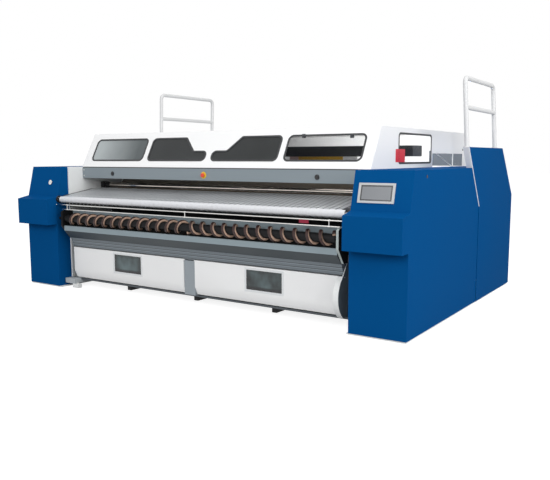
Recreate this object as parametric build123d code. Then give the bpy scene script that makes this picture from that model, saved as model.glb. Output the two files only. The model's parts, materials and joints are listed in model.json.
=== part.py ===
"""Flatwork ironer: two padded suction rolls turning in heated chests, a belt feed table with a
spiral spreading roller in front, sheet metal end casings and a hood with windows.

Millimetres. X runs along the machine, -Y is the feeding side, +Z is up. The origin is at floor
level, in the middle of the machine's footprint. Depths are counted back from the front face of
the end casings, and back(depth) turns one into a Y value.
"""
from build123d import *
from math import cos, hypot, radians, sin
import os

# ---------------------------------------------------------------- overall sizes
overall_length = 5200      # over both end casings
end_width = 572            # one end casing
case_depth = 3340          # front face to rear face of an end casing
nose_reach = 140           # how far the nose stands out in front of that face
end_height = 1500          # top of the end casings, and foot of the hood
tower_height = 1717        # top of the rear screens on the end casings
hood_height = 1915         # roof of the hood
sheet = 3                  # cover sheet
cover_proud = 4            # rear covers stand this far outside the side covers
overcut = 1                # a cutting body reaches this far past what it cuts
same_place = 0.01          # two planes closer than this are the same one

front_plane = -(case_depth + nose_reach) / 2 + nose_reach
outer_x = overall_length / 2
inner_x = outer_x - end_width
cover_x = outer_x - cover_proud

# ---------------------------------------------------------------- floor and frame
plinth_height = 15
plinth_inset = 6
outrigger_reach = 170      # floor beam beside the left side frame, running forward to a pad
outrigger_front = 78
foot_pad = (105, 54)       # width and depth of the white pad under its front end
foot_pad_stand = 68        # the pad stands out this far inwards of that beam
frame_plate = 20           # thickness of a side frame
frame_x = inner_x - frame_plate
frame_front = 190
frame_rear = case_depth - sheet
beam_width = 80
beam_heights = (50, 110)
front_beam_depths = (330, 410)
sill_depths = (186, 232)   # sill under the lower doors
sill_height = 20
sill_tie = 40              # width of the short ties from the sill to the front beam
saddle_half_base = 200     # half the foot of a chest saddle, over two beams
saddle_rise = 0.72         # height of a saddle's shoulders, as a share of the chest's radius
saddle_reach = 0.8
cross_tube_depths = (170, 230)
cross_tube_heights = (640, 700)
rear_beam_setback = 300
foot_radius = 45
foot_spacing = 1070
foot_shift = -83           # the middle feet stand this far to the left of the machine's middle
foot_positions = (foot_shift - foot_spacing, foot_shift, foot_shift + foot_spacing)
skid_width = 60            # rubber skid under the front beam
skid_depths = (345, 520)

# ---------------------------------------------------------------- end casings
nose_bottom = 793
nose_front_top = 1104
nose_top_depth = 19
nose_top = 1137
console_lean = 110         # depth of the sloping console face at the casing's top
front_cover_depth = 230
seam_top_depth = 1546      # slanted seam between side cover and rear cover, at the tower top
seam_low_depth = 1970
seam_low_height = 1077
post_thickness = 12
screen_thickness = 66
screen_rear_depth = 2828
rear_break_height = 1147   # the rear face is upright up to here, then leans forward
lock_radius = 15
lock_proud = 3.5
lock_place = (391, 1442)
void_lap = 50              # the rear cover's inside runs on this far past the seam

# ---------------------------------------------------------------- hood
hood_front_depth = 430
hood_brow_depth = 650
pane = 5
gasket_width = 20
gasket_proud = 3
window_low = 80            # distances up the sloping front
window_high = 391
window_corner = 62
outer_window = (1003, inner_x - 120)
inner_window = (36, 935)
inner_window_top = 400     # inner end of its upper edge
inner_window_step = (235, 215)
side_window_depths = (1066, 2000)
side_window_heights = (1542, 1866)
side_window_corner = 45
vent_depths = (2040, 3110)
vent_top = 1655
beam_face_depth = 410
hood_beam_depths = (1500, 1760)
hood_beam_heights = (1622, 1740)
hood_strap = (60, 40)      # width and depth of the straps that the beam hangs from
front_beam_heights = (1358, 1490)
front_beam_box = 70
seal_depths = (418, 446)
stay_x = inner_x - 12      # stay and rod stand on top of the side frame, inside the hood's wall
stay_radius = 6
stay_low = (2726, 1508)
stay_high = (2126, 1672)
stay_stud_radius = 5
rod_depth = 2770

# ---------------------------------------------------------------- ironing rolls and chests
roll_radius = 400          # over the padding
padding = 12
padding_fit = 0.2
roll_length = 2 * (inner_x - 278)
roll_wall = 12
roll_end_plate = 20
roll_height = 1008
roll_depths = (1100, 2200)
journal_radius = 55
journal_bore = 35
journal_flange = (105, 20) # radius and thickness
journal_passage = 20       # room round a journal in the side frame
shaft_passage = 2          # room round a thin shaft where it passes a cover
running_fit = 0.05
bearing_block = 240
bearing_thickness = 60
journal_tail = 22          # left journals reach this far into the suction duct
chest_gap = 3
chest_thickness = 60
chest_wall = 8
bridge_overlap = 34
bridge_thickness = 6
saddle_spacing = roll_length / 2 - 250
saddle_positions = (-saddle_spacing, 0, saddle_spacing)
saddle_plate = 20
seat_gap = 0.2

# ---------------------------------------------------------------- drive
sprocket_x = inner_x + 84
sprocket_thickness = 18
journal_overhang = 10      # right journals reach this far past their sprockets
roll_sprocket_teeth = 36
roll_sprocket_radius = 180
motor_sprocket_teeth = 14
motor_sprocket_radius = 70
tooth_height = 9
tooth_profile = ((0.0, 0), (0.25, 0), (0.4, 1), (0.6, 1), (0.75, 0))  # shares of pitch and height
chain_clearance = 0.5
chain_thickness = 14
motor_depth = 1650
motor_height = 430
output_shaft_radius = 22
output_shaft_stub = 20     # the shaft stands out this far beyond its sprocket
output_shaft_seat = 110    # and reaches this far into the gear unit
gearbox_bore = 120
gearbox_gap = 15
gearbox_size = (220, 260, 300)
drive_motor_radius = 105
drive_motor_length = 380

# ---------------------------------------------------------------- suction fan
duct_x = inner_x + 262
duct_radius = 80
duct_wall = 2
duct_overrun = 90          # the header runs on this far past each journal
branch_gap = 10
branch_collar = 15         # a branch is this much larger in radius than the journal in it
fan_depth = 1650
fan_heights = (480, 700)
fan_radius = 230
impeller_radius = 190
impeller_heights = (505, 660)
impeller_blades = 12
impeller_plate = 6
impeller_hub = (36, 60)    # radius and height
blade_size = (76, 4)       # length and thickness
blade_inset = 3
fan_shaft_radius = 12
fan_shaft_seat = 140       # the shaft's length inside the motor
fan_motor_bore = 150
fan_motor_radius = 95
fan_outlet_depth = 2420
exhaust_radius = 100
spigot_radius = 102
spigot_height = 80
spigot_flange = (125, 3)   # radius and thickness

# ---------------------------------------------------------------- feed table
feed_front = (40, 1105)    # depth and height of the front roller's axis
feed_rear = (600, 1193)
feed_roller_radius = 35
feed_shaft_radius = 15
feed_shaft_bore = 10
feed_roller_half = inner_x - 53
feed_shaft_half = inner_x + 38
belt_thickness = 2.5
belt_clearance = 0.3
belt_width = 56
belt_pitch = 68
belt_margin = 40           # the outer belts lie this far inside the rollers' ends
belt_count = 1 + int((2 * (feed_roller_half - belt_margin) - belt_width) / belt_pitch)
bed_clearance = 1
bed_wall = 4
feed_bearing = (42, 26)    # radius and thickness
bed_margin = 60

# ---------------------------------------------------------------- spreading roller and trough
spreader = (50, 870)
spreader_core_radius = 45
spreader_radius = 77.5
bracket_x = inner_x - 124
spreader_half = bracket_x - 25
flight_margins = (90, 8)   # bare core at the left and right ends
flight_pitch = 143
flight_meeting = 65        # the two hands meet this far to the right of the machine's middle
flight_width = 30
flight_round = 9           # rounded corners of a flight's crest
bracket_thickness = 26
bracket_depths = (-15, cross_tube_depths[0])
bracket_heights = (635, 970)
bracket_chamfer = 20
lip_seat = 5               # the bracket's front starts this far below the top of the trough's lip
shaft_tail = 8             # the spreading roller's shaft stands out this far past its right bracket
cheek_thickness = 8
lip_depth = 8
lip_heights = (723, 784)
lip_width = 26
trough_floor = 742
trough_back_depth = 150
trough_back_top = 972
apron_foot = (92, 627)
apron_flange = 38
rail_depths = (100, 230)
rail_heights = (515, 627)
rail_groove = 6
feed_gearbox = (150, 140, 134)        # length along X, depth, height
feed_gearbox_low = (-30, -111)        # its lower front edge, from the roller's axis
feed_motor = (52, 210)                # radius and length
feed_motor_place = (50, -47)
spreader_gearbox = (150, 150, 150)
spreader_gearbox_low = (-46, -75)
spreader_motor = (60, 210)
spreader_motor_place = (30, 0)

# ---------------------------------------------------------------- safety bar
bar_depth = 0
bar_upper_height = 1041
bar_lower_height = 986
bar_radius = 6
bar_half = inner_x - 93
bar_pivot_half = inner_x + 12
bar_post_inset = 113
bar_middle_post = 77       # to the right of the machine's middle
bar_posts = (bar_post_inset - bar_half, bar_middle_post, bar_half - bar_post_inset)
bar_post_radius = 5

# ---------------------------------------------------------------- lower doors
door_face = 140
door_pan = 60
door_top = 506
door_fold = 210
door_bottom = 122
door_bottom_depth = 180
door_gap = 4
post_half = 76
post_depths = (150, 230)
door_window_size = (438, 206)
door_window_height = 366
door_window_inset = 15     # the windows sit this much nearer to the middle than the doors' centres
door_window_shift = 21     # and both this far to the right
door_hinge = (149, 498)
door_pin_radius = 6
door_pin_length = 12
door_window_lap = 12
cheek_top_depth = 200
cheek_crown = (110, 505)   # the right cheek bulges forward; the left one follows the door
cheek_belly = (30, 380)
cheek_heel_depth = 130
cheek_flange = 50          # the right cheek's curved edge is folded in this far, to the door

# ---------------------------------------------------------------- press roller and delivery
press_radius = 35
press_gap = 0.35
press_angle = 144.6
press_half = inner_x - 98
press_shaft_radius = 15
press_block = 80
press_block_gap = 8        # between the roller's end and its bearing block
press_shaft_inset = 10     # the shaft ends this far inside the side frames
delivery = (2725, 965)
delivery_radius = 45
delivery_shaft_radius = 15
delivery_half = inner_x - 68
chute_points = ((2785, 978), (3330, 884))
rear_panel_lower = (60, 870)
rear_panel_upper = (1135, 1500)
rear_panel_inset = 27
pipe_passage = 4           # room round a pipe in the rear panel

# ---------------------------------------------------------------- controls
screen_frame = (352, 182)
screen_frame_proud = 9
screen_glass = (304, 140)
screen_glass_thickness = 4
screen_recess = 4          # thickness of the frame behind the glass
screen_fit = 0.5           # gap round the glass
screen_centre = (inner_x + 234, 1298)
button_height = 1418
button_positions = (-1455, 1455)
button_radius = 20
button_proud = 12
button_cap = 6
collar_radius = 27
collar_proud = 5
collar_fit = 1
stem_radius = 8
stem_length = 30
stop_plate_radius = 38
stop_plate_thickness = 4
stop_radius = 23
stop_travel_gap = 12
stop_head = 14             # thickness of the mushroom head
stop_edge = 6
cabinet_inset = (182, 40)  # from the casing's inner and outer face
cabinet_x = (inner_x + cabinet_inset[0], outer_x - cabinet_inset[1])
cabinet_depths = (330, 900)
cabinet_heights = (plinth_height, 980)
cabinet_cable_hole = 40
gauge_place = (-(inner_x + 159), 1306)
gauge_radius = 30
gauge_proud = 16
gauge_rim = 4
gauge_recess = 3

# ---------------------------------------------------------------- handrails
rail_radius = 24
left_rail_inset = 50       # the left rail stands on the hood, this far from its edge
rail_bend = 60
rail_flange_radius = 33    # as wide as the rear screen's top
rail_flange_thickness = 8
right_rail = dict(x=outer_x - screen_thickness / 2, depths=(1582, 2605), foot=tower_height,
                  middle=2125, top=2428, lean=45)
left_rail = dict(x=-(inner_x - left_rail_inset), depths=(1838, 2990), foot=hood_height,
                 middle=2170, top=2505, lean=20)

# ---------------------------------------------------------------- steam pipes
steam_x = 1000
condensate_x = -1000
pipe_height = 300
steam_pipe = dict(outside=30.15, wall=2.9, flange=82.5, pitch=62.5)
condensate_pipe = dict(outside=24.15, wall=2.6, flange=75, pitch=55)
flange_thickness = 18
flange_hole = 9
flange_bolts = 4
flange_face_depth = 3336
pipe_lap = 6               # a pipe runs up to a saddle cut just inside the chest's wall


standing = (Align.CENTER, Align.CENTER, Align.MIN)


def back(depth):
    """Y of a point that lies a given depth behind the front face of the end casings."""
    return front_plane + depth


def prism(points, x_start, x_end):
    """Solid between two X planes, from a side outline of (depth, height) points."""
    outline = Polyline(*[(back(depth), height) for depth, height in points], close=True)
    face = Plane.YZ * make_face(outline)
    return extrude(Pos(x_start, 0, 0) * face, x_end - x_start, dir=(1, 0, 0))


def block(x_range, depth_range, height_range):
    """Box between two X values, two depths and two heights."""
    spans = (x_range, depth_range, height_range)
    size = [high - low for low, high in spans]
    corner = Pos(x_range[0], back(depth_range[0]), height_range[0])
    return corner * Box(*size, align=(Align.MIN, Align.MIN, Align.MIN))


def rod_x(radius, x_start, x_end, place):
    """Round bar along X; place is its (depth, height)."""
    depth, height = place
    turned = Rot(0, 90, 0) * Cylinder(radius, x_end - x_start, align=standing)
    return Pos(x_start, back(depth), height) * turned


def rod_y(radius, depth_range, x, height):
    """Round bar along Y between two depths."""
    low, high = depth_range
    turned = Rot(-90, 0, 0) * Cylinder(radius, high - low, align=standing)
    return Pos(x, back(low), height) * turned


def rod_z(radius, height_range, x, depth):
    """Upright round bar between two heights."""
    low, high = height_range
    upright = Cylinder(radius, high - low, align=standing)
    return Pos(x, back(depth), low) * upright


def faces_at(solid, direction, value):
    """Faces of a solid whose centre has the given X, Y or Z."""
    return [face for face in solid.faces() if abs(getattr(face.center(), direction) - value) < same_place]


def hollow(solid, wall, openings):
    """Sheet metal shell inside a solid's outline, open at the given faces."""
    return offset(solid, amount=-wall, openings=openings, kind=Kind.INTERSECTION)


def mirrored(part):
    """The same piece on the left-hand end of the machine."""
    return mirror(part, about=Plane.YZ)


def both_ends(part):
    return [part, mirrored(part)]


def seam_depth(height):
    """Depth of the slanted seam between the side and rear covers at a height."""
    share = (tower_height - height) / (tower_height - seam_low_height)
    return seam_top_depth + share * (seam_low_depth - seam_top_depth)


def console_depth(height):
    """Depth of the sloping console face at a height."""
    share = (height - nose_top) / (end_height - nose_top)
    return nose_top_depth + share * (console_lean - nose_top_depth)


# ================================================================ floor and frame
def plinths():
    """Floor plate under each end casing, and the white pad under the front of the outrigger."""
    depths = (plinth_inset, case_depth - plinth_inset)
    plate = block((frame_x, outer_x - plinth_inset), depths, (0, plinth_height))
    width, deep = foot_pad
    end = foot_pad_stand + outrigger_reach - frame_x
    pad = block((end - width, end), (outrigger_front, outrigger_front + deep), (0, beam_heights[0]))
    return both_ends(plate) + [pad]


def beam_depths():
    """Depth range of each floor beam: one at the front, two under each chest, one at the rear."""
    ranges = [front_beam_depths]
    for depth in roll_depths:
        for side in (-1, 1):
            centre = depth + side * (saddle_half_base - beam_width / 2)
            ranges.append((centre - beam_width / 2, centre + beam_width / 2))
    rear = frame_rear - rear_beam_setback
    ranges.append((rear, rear + beam_width))
    return ranges


def floor_beams():
    """Beams from side frame to side frame: under the machine, and one behind the trough."""
    beams = [block((-frame_x, frame_x), depths, beam_heights) for depths in beam_depths()]
    return beams + [block((-frame_x, frame_x), cross_tube_depths, cross_tube_heights)]


def outrigger():
    """Beam beside the left side frame, from the front floor beam forward to its pad."""
    depths = (outrigger_front, front_beam_depths[0])
    return block((-frame_x, outrigger_reach - frame_x), depths, beam_heights)


def door_sill():
    """Thin bar under the lower doors, from the outrigger to the right side frame."""
    high = beam_heights[1]
    sill = block((outrigger_reach - frame_x, frame_x), sill_depths, (high - sill_height, high))
    for x in foot_positions:
        sill += block((x - sill_tie / 2, x + sill_tie / 2), (sill_depths[0], front_beam_depths[0]),
                      (high - sill_height, high))
    return sill


def chest_saddles():
    """Upright plates that carry the chests on the floor beams."""
    outside = roll_radius + chest_gap + chest_thickness + seat_gap
    saddles = []
    for depth in roll_depths:
        top = roll_height - outside * saddle_rise
        outline = [
            (depth - saddle_half_base, beam_heights[1]),
            (depth + saddle_half_base, beam_heights[1]),
            (depth + saddle_reach * outside, top),
            (depth - saddle_reach * outside, top),
        ]
        for x in saddle_positions:
            plate = prism(outline, x - saddle_plate / 2, x + saddle_plate / 2)
            saddles.append(plate - rod_x(outside, x - saddle_plate, x + saddle_plate, (depth, roll_height)))
    return saddles


def levelling_feet():
    """Black skids under the front floor beam and round feet under the others."""
    half = skid_width / 2
    feet = [block((x - half, x + half), skid_depths, (0, beam_heights[0])) for x in foot_positions]
    for low, high in beam_depths()[1:]:
        depth = (low + high) / 2
        for x in foot_positions:
            feet.append(rod_z(foot_radius, (0, plinth_height), x, depth)
                        + rod_z(foot_radius / 2, (plinth_height, beam_heights[0]), x, depth))
    return feet


def side_frames():
    """Thick side plates that carry every roll, on the floor plates and up to the hood."""
    plate = block((frame_x, inner_x), (frame_front, frame_rear), (plinth_height, end_height))
    span = (frame_x - overcut, inner_x + overcut)
    for depth in roll_depths:
        plate -= rod_x(journal_radius + journal_passage, *span, (depth, roll_height))
    for place, radius in ((feed_rear, feed_shaft_radius), (delivery, delivery_shaft_radius)):
        plate -= rod_x(radius + running_fit, *span, place)
    return both_ends(plate)


# ================================================================ end casings
def front_cover():
    """Front of the right-hand end casing: leg, nose and sloping console in one folded sheet."""
    outline = [
        (0, plinth_height), (0, nose_bottom), (-nose_reach, nose_bottom), (-nose_reach, nose_front_top),
        (nose_top_depth, nose_top), (console_lean, end_height),
        (front_cover_depth, end_height), (front_cover_depth, plinth_height),
    ]
    solid = prism(outline, inner_x, cover_x)
    openings = faces_at(solid, "Y", back(front_cover_depth)) + faces_at(solid, "Z", plinth_height)
    cover = hollow(solid, sheet, openings)
    span = (inner_x - overcut, inner_x + sheet + overcut)
    cover -= rod_x(feed_shaft_radius + shaft_passage, *span, feed_front)
    cover -= rod_x(bar_radius + running_fit, *span, (bar_depth, bar_upper_height))
    return cover


def side_cover():
    """Outer side and top sheet of the right-hand casing, up to the slanted seam."""
    outline = [
        (front_cover_depth, plinth_height), (front_cover_depth, end_height),
        (seam_depth(end_height), end_height), (seam_low_depth, seam_low_height),
        (seam_low_depth, plinth_height),
    ]
    solid = prism(outline, inner_x, cover_x)
    keep = [(cover_x, "X"), (end_height, "Z")]
    openings = [face for face in solid.faces()
                if not any(abs(getattr(face.center(), name) - value) < same_place for value, name in keep)]
    cover = hollow(solid, sheet, openings)
    seam = seam_depth(end_height)
    tongue = block((inner_x, outer_x - screen_thickness), (seam - sheet, seam + post_thickness),
                   (end_height - sheet, end_height))
    return cover + tongue


def tower_post():
    """White slanted strip along the seam; above the casing it closes the screen's front edge."""
    outline = [
        (seam_low_depth, seam_low_height), (seam_low_depth + post_thickness, seam_low_height),
        (seam_top_depth + post_thickness, tower_height), (seam_top_depth, tower_height),
    ]
    return prism(outline, outer_x - screen_thickness, outer_x)


def rear_cover():
    """Rear part of the right-hand casing, with the upright screen that stands on its outer edge."""
    seam = seam_depth(end_height) + post_thickness
    slope = (case_depth - screen_rear_depth) / (tower_height - rear_break_height)
    slope_depth = screen_rear_depth + slope * (tower_height - end_height)
    lower = prism([
        (seam, end_height), (slope_depth, end_height), (case_depth, rear_break_height),
        (case_depth, plinth_height), (seam_low_depth, plinth_height),
        (seam_low_depth, seam_low_height), (seam_low_depth + post_thickness, seam_low_height),
    ], inner_x, outer_x)
    screen = prism([
        (seam, end_height), (seam_top_depth + post_thickness, tower_height),
        (screen_rear_depth, tower_height), (slope_depth, end_height),
    ], outer_x - screen_thickness, outer_x)
    void = prism([
        (seam - void_lap, end_height - sheet), (slope_depth - 1.5 * sheet, end_height - sheet),
        (case_depth - sheet, rear_break_height - sheet), (case_depth - sheet, plinth_height - overcut),
        (seam_low_depth - overcut, plinth_height - overcut),
        (seam_low_depth - overcut, seam_low_height - overcut),
        (seam_low_depth - void_lap, seam_low_height - overcut),
    ], inner_x - overcut, outer_x - sheet)
    screen_void = prism([
        (seam_depth(end_height - 2 * sheet) - overcut, end_height - 2 * sheet),
        (seam_top_depth - overcut, tower_height - sheet),
        (screen_rear_depth - sheet, tower_height - sheet),
        (slope_depth - 1.5 * sheet, end_height - 2 * sheet),
    ], outer_x - screen_thickness + sheet, outer_x - sheet)
    return lower + screen - void - screen_void


def cover_locks():
    """Black quarter-turn lock on the outside of each side cover."""
    return both_ends(rod_x(lock_radius, cover_x, cover_x + lock_proud, lock_place))


# ================================================================ hood
def hood_slope():
    """Length and angle of the hood's sloping front, and its plane at the foot."""
    rise = hood_height - end_height
    run = hood_brow_depth - hood_front_depth
    foot = (0, back(hood_front_depth), end_height)
    normal = (0, -rise, run)
    return Plane(origin=foot, x_dir=(1, 0, 0), z_dir=normal)


def inner_window_outline(shrink=0.0):
    """Outline of the window beside the middle: its upper inner corner steps down to a low lobe."""
    left, right = inner_window
    step_x, step_y = inner_window_step
    points = [
        (left, window_low), (right, window_low), (right, window_high), (inner_window_top, window_high),
        (step_x, step_y), (left, step_y),
    ]
    face = make_face(Polyline(*points, close=True))
    corners = face.vertices()
    ends = [v for v in corners if v.X > right - 1 or v.X < left + 1]
    face = fillet(ends, window_corner)
    soft = [v for v in face.vertices() if abs(v.X - inner_window_top) < 1 or abs(v.X - step_x) < 1]
    face = fillet(soft, window_corner / 2)
    return offset(face, amount=-shrink, kind=Kind.ARC) if shrink else face


def outer_window_outline(shrink=0.0):
    left, right = outer_window
    width = right - left
    height = window_high - window_low
    centre = Pos((left + right) / 2, (window_low + window_high) / 2)
    face = centre * RectangleRounded(width, height, window_corner)
    return offset(face, amount=-shrink, kind=Kind.ARC) if shrink else face


def front_window_outlines(shrink=0.0):
    """The four windows of the hood's front, in the plane of its slope."""
    right = [outer_window_outline(shrink), inner_window_outline(shrink)]
    return right + [mirror(face, about=Plane.YZ) for face in right]


def side_window_outline(shrink=0.0):
    low, high = side_window_depths
    bottom, top = side_window_heights
    width = high - low - 2 * shrink
    height = top - bottom - 2 * shrink
    face = RectangleRounded(width, height, side_window_corner - shrink / 2)
    return Pos(back((low + high) / 2), (bottom + top) / 2) * face


def on_slope(face, start, thickness):
    """A window outline as a slab that starts a distance outside the hood's front."""
    plane = hood_slope()
    return extrude(plane * (Pos(0, 0, start) * face), thickness, dir=plane.z_dir)


def on_hood_side(face, start, thickness):
    """The same for the right-hand side wall."""
    slab = extrude(Plane.YZ * face, thickness, dir=(1, 0, 0))
    return Pos(inner_x + start, 0, 0) * slab


def canopy_shell():
    """White sheet hood over the rolls, open below, with window holes and two side vents."""
    outline = [
        (hood_front_depth, end_height), (hood_brow_depth, hood_height),
        (case_depth, hood_height), (case_depth, end_height),
    ]
    solid = prism(outline, -inner_x, inner_x)
    shell = hollow(solid, sheet, faces_at(solid, "Z", end_height))
    for face in front_window_outlines():
        shell -= on_slope(face, -2 * sheet, 4 * sheet)
    window = on_hood_side(side_window_outline(), -2 * sheet, 4 * sheet)
    vent = block((inner_x - 2 * sheet, inner_x + sheet), vent_depths, (end_height - overcut, vent_top))
    for hole in both_ends(window) + both_ends(vent):
        shell -= hole
    return shell


def window_panes():
    """Tinted panes, set just inside the hood's sheet on their gaskets."""
    panes = [on_slope(face, -sheet - pane, pane) for face in front_window_outlines(gasket_width / 2)]
    panes += both_ends(on_hood_side(side_window_outline(gasket_width / 2), -sheet - pane, pane))
    return panes


def rubber_seals():
    """Black rubber: a gasket in each window hole, and the strip between hood and front beam."""
    seals = []
    rings = zip(front_window_outlines(), front_window_outlines(gasket_width))
    for outside, inside in rings:
        ring = on_slope(outside, -sheet, sheet + gasket_proud) - on_slope(inside, -2 * sheet, 4 * sheet)
        seals.append(ring)
    outside, inside = side_window_outline(), side_window_outline(gasket_width)
    ring = on_hood_side(outside, -sheet, sheet + gasket_proud) - on_hood_side(inside, -2 * sheet, 4 * sheet)
    seals += both_ends(ring)
    seals.append(block((-frame_x, frame_x), seal_depths, (front_beam_heights[1], end_height)))
    return seals


def front_beam():
    """Grey channel across the machine under the hood; the push buttons sit in its face."""
    low, high = front_beam_heights
    depth = beam_face_depth
    solid = block((-frame_x, frame_x), (depth, depth + front_beam_box), (low, high))
    solid -= block((-frame_x, frame_x), (depth + sheet, depth + front_beam_box), (low + sheet, high - sheet))
    span = (depth - overcut, depth + sheet + overcut)
    for x in button_positions + (0,):
        solid -= rod_y(stem_radius + running_fit, span, x, button_height)
    return solid


def hood_beam():
    """Dark box-section beam across the hood, and the straps that hang it from the roof."""
    low, high = hood_beam_heights
    front, rear = hood_beam_depths
    beam = block((-frame_x, frame_x), hood_beam_depths, (low, high))
    beam -= block((-frame_x + sheet, frame_x - sheet), (front + sheet, rear - sheet),
                  (low + sheet, high - sheet))
    width, deep = hood_strap
    middle = (front + rear) / 2
    straps = [block((x - width / 2, x + width / 2), (middle - deep / 2, middle + deep / 2),
                    (high, hood_height - sheet)) for x in saddle_positions]
    return [beam] + straps


def hood_stays():
    """Each side: a slanting stay that is pinned to the hood's wall, and an upright rod to its roof."""
    low_depth, low_height = stay_low
    run = stay_high[0] - low_depth
    rise = stay_high[1] - low_height
    foot = (stay_x, back(low_depth), low_height)
    line = Plane(origin=foot, x_dir=(1, 0, 0), z_dir=(0, run, rise))
    stay = line * Cylinder(stay_radius, hypot(run, rise), align=standing)
    stay += rod_x(stay_stud_radius, stay_x, inner_x - sheet, stay_high)
    stay += rod_z(stay_radius, (end_height, low_height), stay_x, low_depth)
    rod = rod_z(stay_radius, (end_height, hood_height - sheet), stay_x, rod_depth)
    return both_ends(stay) + both_ends(rod)


# ================================================================ feed table
def feed_roller(place, shaft_half):
    """Smooth belt roller with a stepped shaft and a bore along it."""
    roller = rod_x(feed_roller_radius, -feed_roller_half, feed_roller_half, place)
    roller += rod_x(feed_shaft_radius, -shaft_half, shaft_half, place)
    return roller - rod_x(feed_shaft_bore, -shaft_half - overcut, shaft_half + overcut, place)


def table_frame():
    """Plane of the feed table: local x runs up the belts, local y stands up from them."""
    run = feed_rear[0] - feed_front[0]
    rise = feed_rear[1] - feed_front[1]
    length = hypot(run, rise)
    origin = (0, back(feed_front[0]), feed_front[1])
    return Plane(origin=origin, x_dir=(0, run, rise), z_dir=(1, 0, 0)), length


def feed_belts():
    """Endless feed belts round the two rollers."""
    plane, length = table_frame()
    inside = feed_roller_radius + belt_clearance
    outside = inside + belt_thickness
    ring = SlotCenterToCenter(length, 2 * outside) - SlotCenterToCenter(length, 2 * inside)
    ring = plane * (Pos(length / 2, 0) * ring)
    first = -(belt_count - 1) * belt_pitch / 2
    belt = extrude(ring, belt_width, dir=(1, 0, 0))
    return [Pos(first + index * belt_pitch - belt_width / 2, 0, 0) * belt for index in range(belt_count)]


def feed_table_bed():
    """Flat box section that holds both runs of the belts level between the rollers."""
    plane, length = table_frame()
    height = 2 * (feed_roller_radius + belt_clearance - bed_clearance)
    width = length - 2 * bed_margin
    section = Rectangle(width, height) - Rectangle(width - 2 * bed_wall, height - 2 * bed_wall)
    section = plane * (Pos(length / 2, 0) * section)
    bed = Pos(-frame_x, 0, 0) * extrude(section, 2 * frame_x, dir=(1, 0, 0))
    cap = plane * (Pos(length / 2, 0) * Rectangle(width, height))
    for x in (-frame_x, frame_x - bed_wall):
        bed += Pos(x, 0, 0) * extrude(cap, bed_wall, dir=(1, 0, 0))
    return bed


def feed_bearings():
    """Round flange bearings of the front belt roller, on the casings' inner walls."""
    radius, thickness = feed_bearing
    bearing = rod_x(radius, inner_x - thickness, inner_x, feed_front)
    span = (inner_x - thickness - overcut, inner_x + overcut)
    bearing -= rod_x(feed_shaft_radius + running_fit, *span, feed_front)
    return both_ends(bearing)


def gearmotor(place, gearbox, low_edge, motor, motor_place):
    """Gear unit on the inner wall of the right-hand casing, bored for a shaft, with its motor."""
    start = inner_x + sheet
    length, deep, tall = gearbox
    front, bottom = place[0] + low_edge[0], place[1] + low_edge[1]
    body = block((start, start + length), (front, front + deep), (bottom, bottom + tall))
    body -= rod_x(feed_shaft_radius + running_fit, start - overcut, feed_shaft_half + shaft_passage, place)
    radius, reach = motor
    axis = (place[0] + motor_place[0], place[1] + motor_place[1])
    return body + rod_x(radius, start + length, start + length + reach, axis)


def front_gearmotors():
    """Geared motors inside the casings: one for the feed belts, one for the spreading roller."""
    feed = gearmotor(feed_front, feed_gearbox, feed_gearbox_low, feed_motor, feed_motor_place)
    spread = gearmotor(spreader, spreader_gearbox, spreader_gearbox_low, spreader_motor, spreader_motor_place)
    return [feed, mirrored(spread)]


# ================================================================ spreading roller
def spreader_core():
    """Black tube of the spreading roller; its shaft reaches the gearmotor on the left."""
    core = rod_x(spreader_core_radius, -spreader_half, spreader_half, spreader)
    right_end = bracket_x + bracket_thickness + shaft_tail
    core += rod_x(feed_shaft_radius, -feed_shaft_half, right_end, spreader)
    return core - rod_x(feed_shaft_bore, -feed_shaft_half - overcut, right_end + overcut, spreader)


def spreader_flight(length, hand):
    """One helical flight with a rounded crest, right-handed or left-handed."""
    inside = spreader_core_radius + seat_gap
    middle = (inside + spreader_radius) / 2
    path = Helix(flight_pitch, length, middle, lefthand=hand < 0)
    profile = Rectangle(spreader_radius - inside, flight_width)
    crest = profile.vertices().sort_by(Axis.X)[-2:]
    section = Plane(origin=path @ 0, x_dir=(1, 0, 0), z_dir=path % 0) * fillet(crest, flight_round)
    return sweep(section, path=path, is_frenet=True)


def spreader_brackets():
    """End plates in front of the cross tube that carry the spreading roller and the trough."""
    low, high = bracket_depths
    plate = prism([
        (low + bracket_chamfer, bracket_heights[1]), (high, bracket_heights[1]), (high, bracket_heights[0]),
        (apron_foot[0], bracket_heights[0]), (low, lip_heights[1] - lip_seat),
        (low, bracket_heights[1] - bracket_chamfer),
    ], bracket_x, bracket_x + bracket_thickness)
    span = (bracket_x - overcut, bracket_x + bracket_thickness + overcut)
    plate -= rod_x(feed_shaft_radius + running_fit, *span, spreader)
    return both_ends(plate)


def catch_trough():
    """Grey sheet trough under the spreading roller, with a box lip in front and a high back."""
    lip_low, lip_high = lip_heights
    outline = [
        (lip_depth, lip_low), (lip_depth, lip_high), (lip_depth + lip_width, lip_high),
        (lip_depth + lip_width, trough_floor), (trough_back_depth, trough_floor),
        (trough_back_depth, trough_back_top), (trough_back_depth + sheet, trough_back_top),
        (trough_back_depth + sheet, trough_floor - sheet),
        (lip_depth + lip_width - sheet, trough_floor - sheet),
        (lip_depth + lip_width - sheet, lip_high - sheet), (lip_depth + sheet, lip_high - sheet),
        (lip_depth + sheet, lip_low),
    ]
    return prism(outline, -bracket_x, bracket_x)


def apron():
    """Sloping sheet that runs from the trough's lip back to the door rail."""
    depth, height = apron_foot
    top = lip_heights[0]
    outline = [
        (lip_depth, top), (depth, height), (depth + apron_flange, height),
        (depth + apron_flange, height + sheet), (depth + 1.5 * sheet, height + sheet),
        (lip_depth + sheet, top),
    ]
    return prism(outline, -bracket_x, bracket_x)


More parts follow.
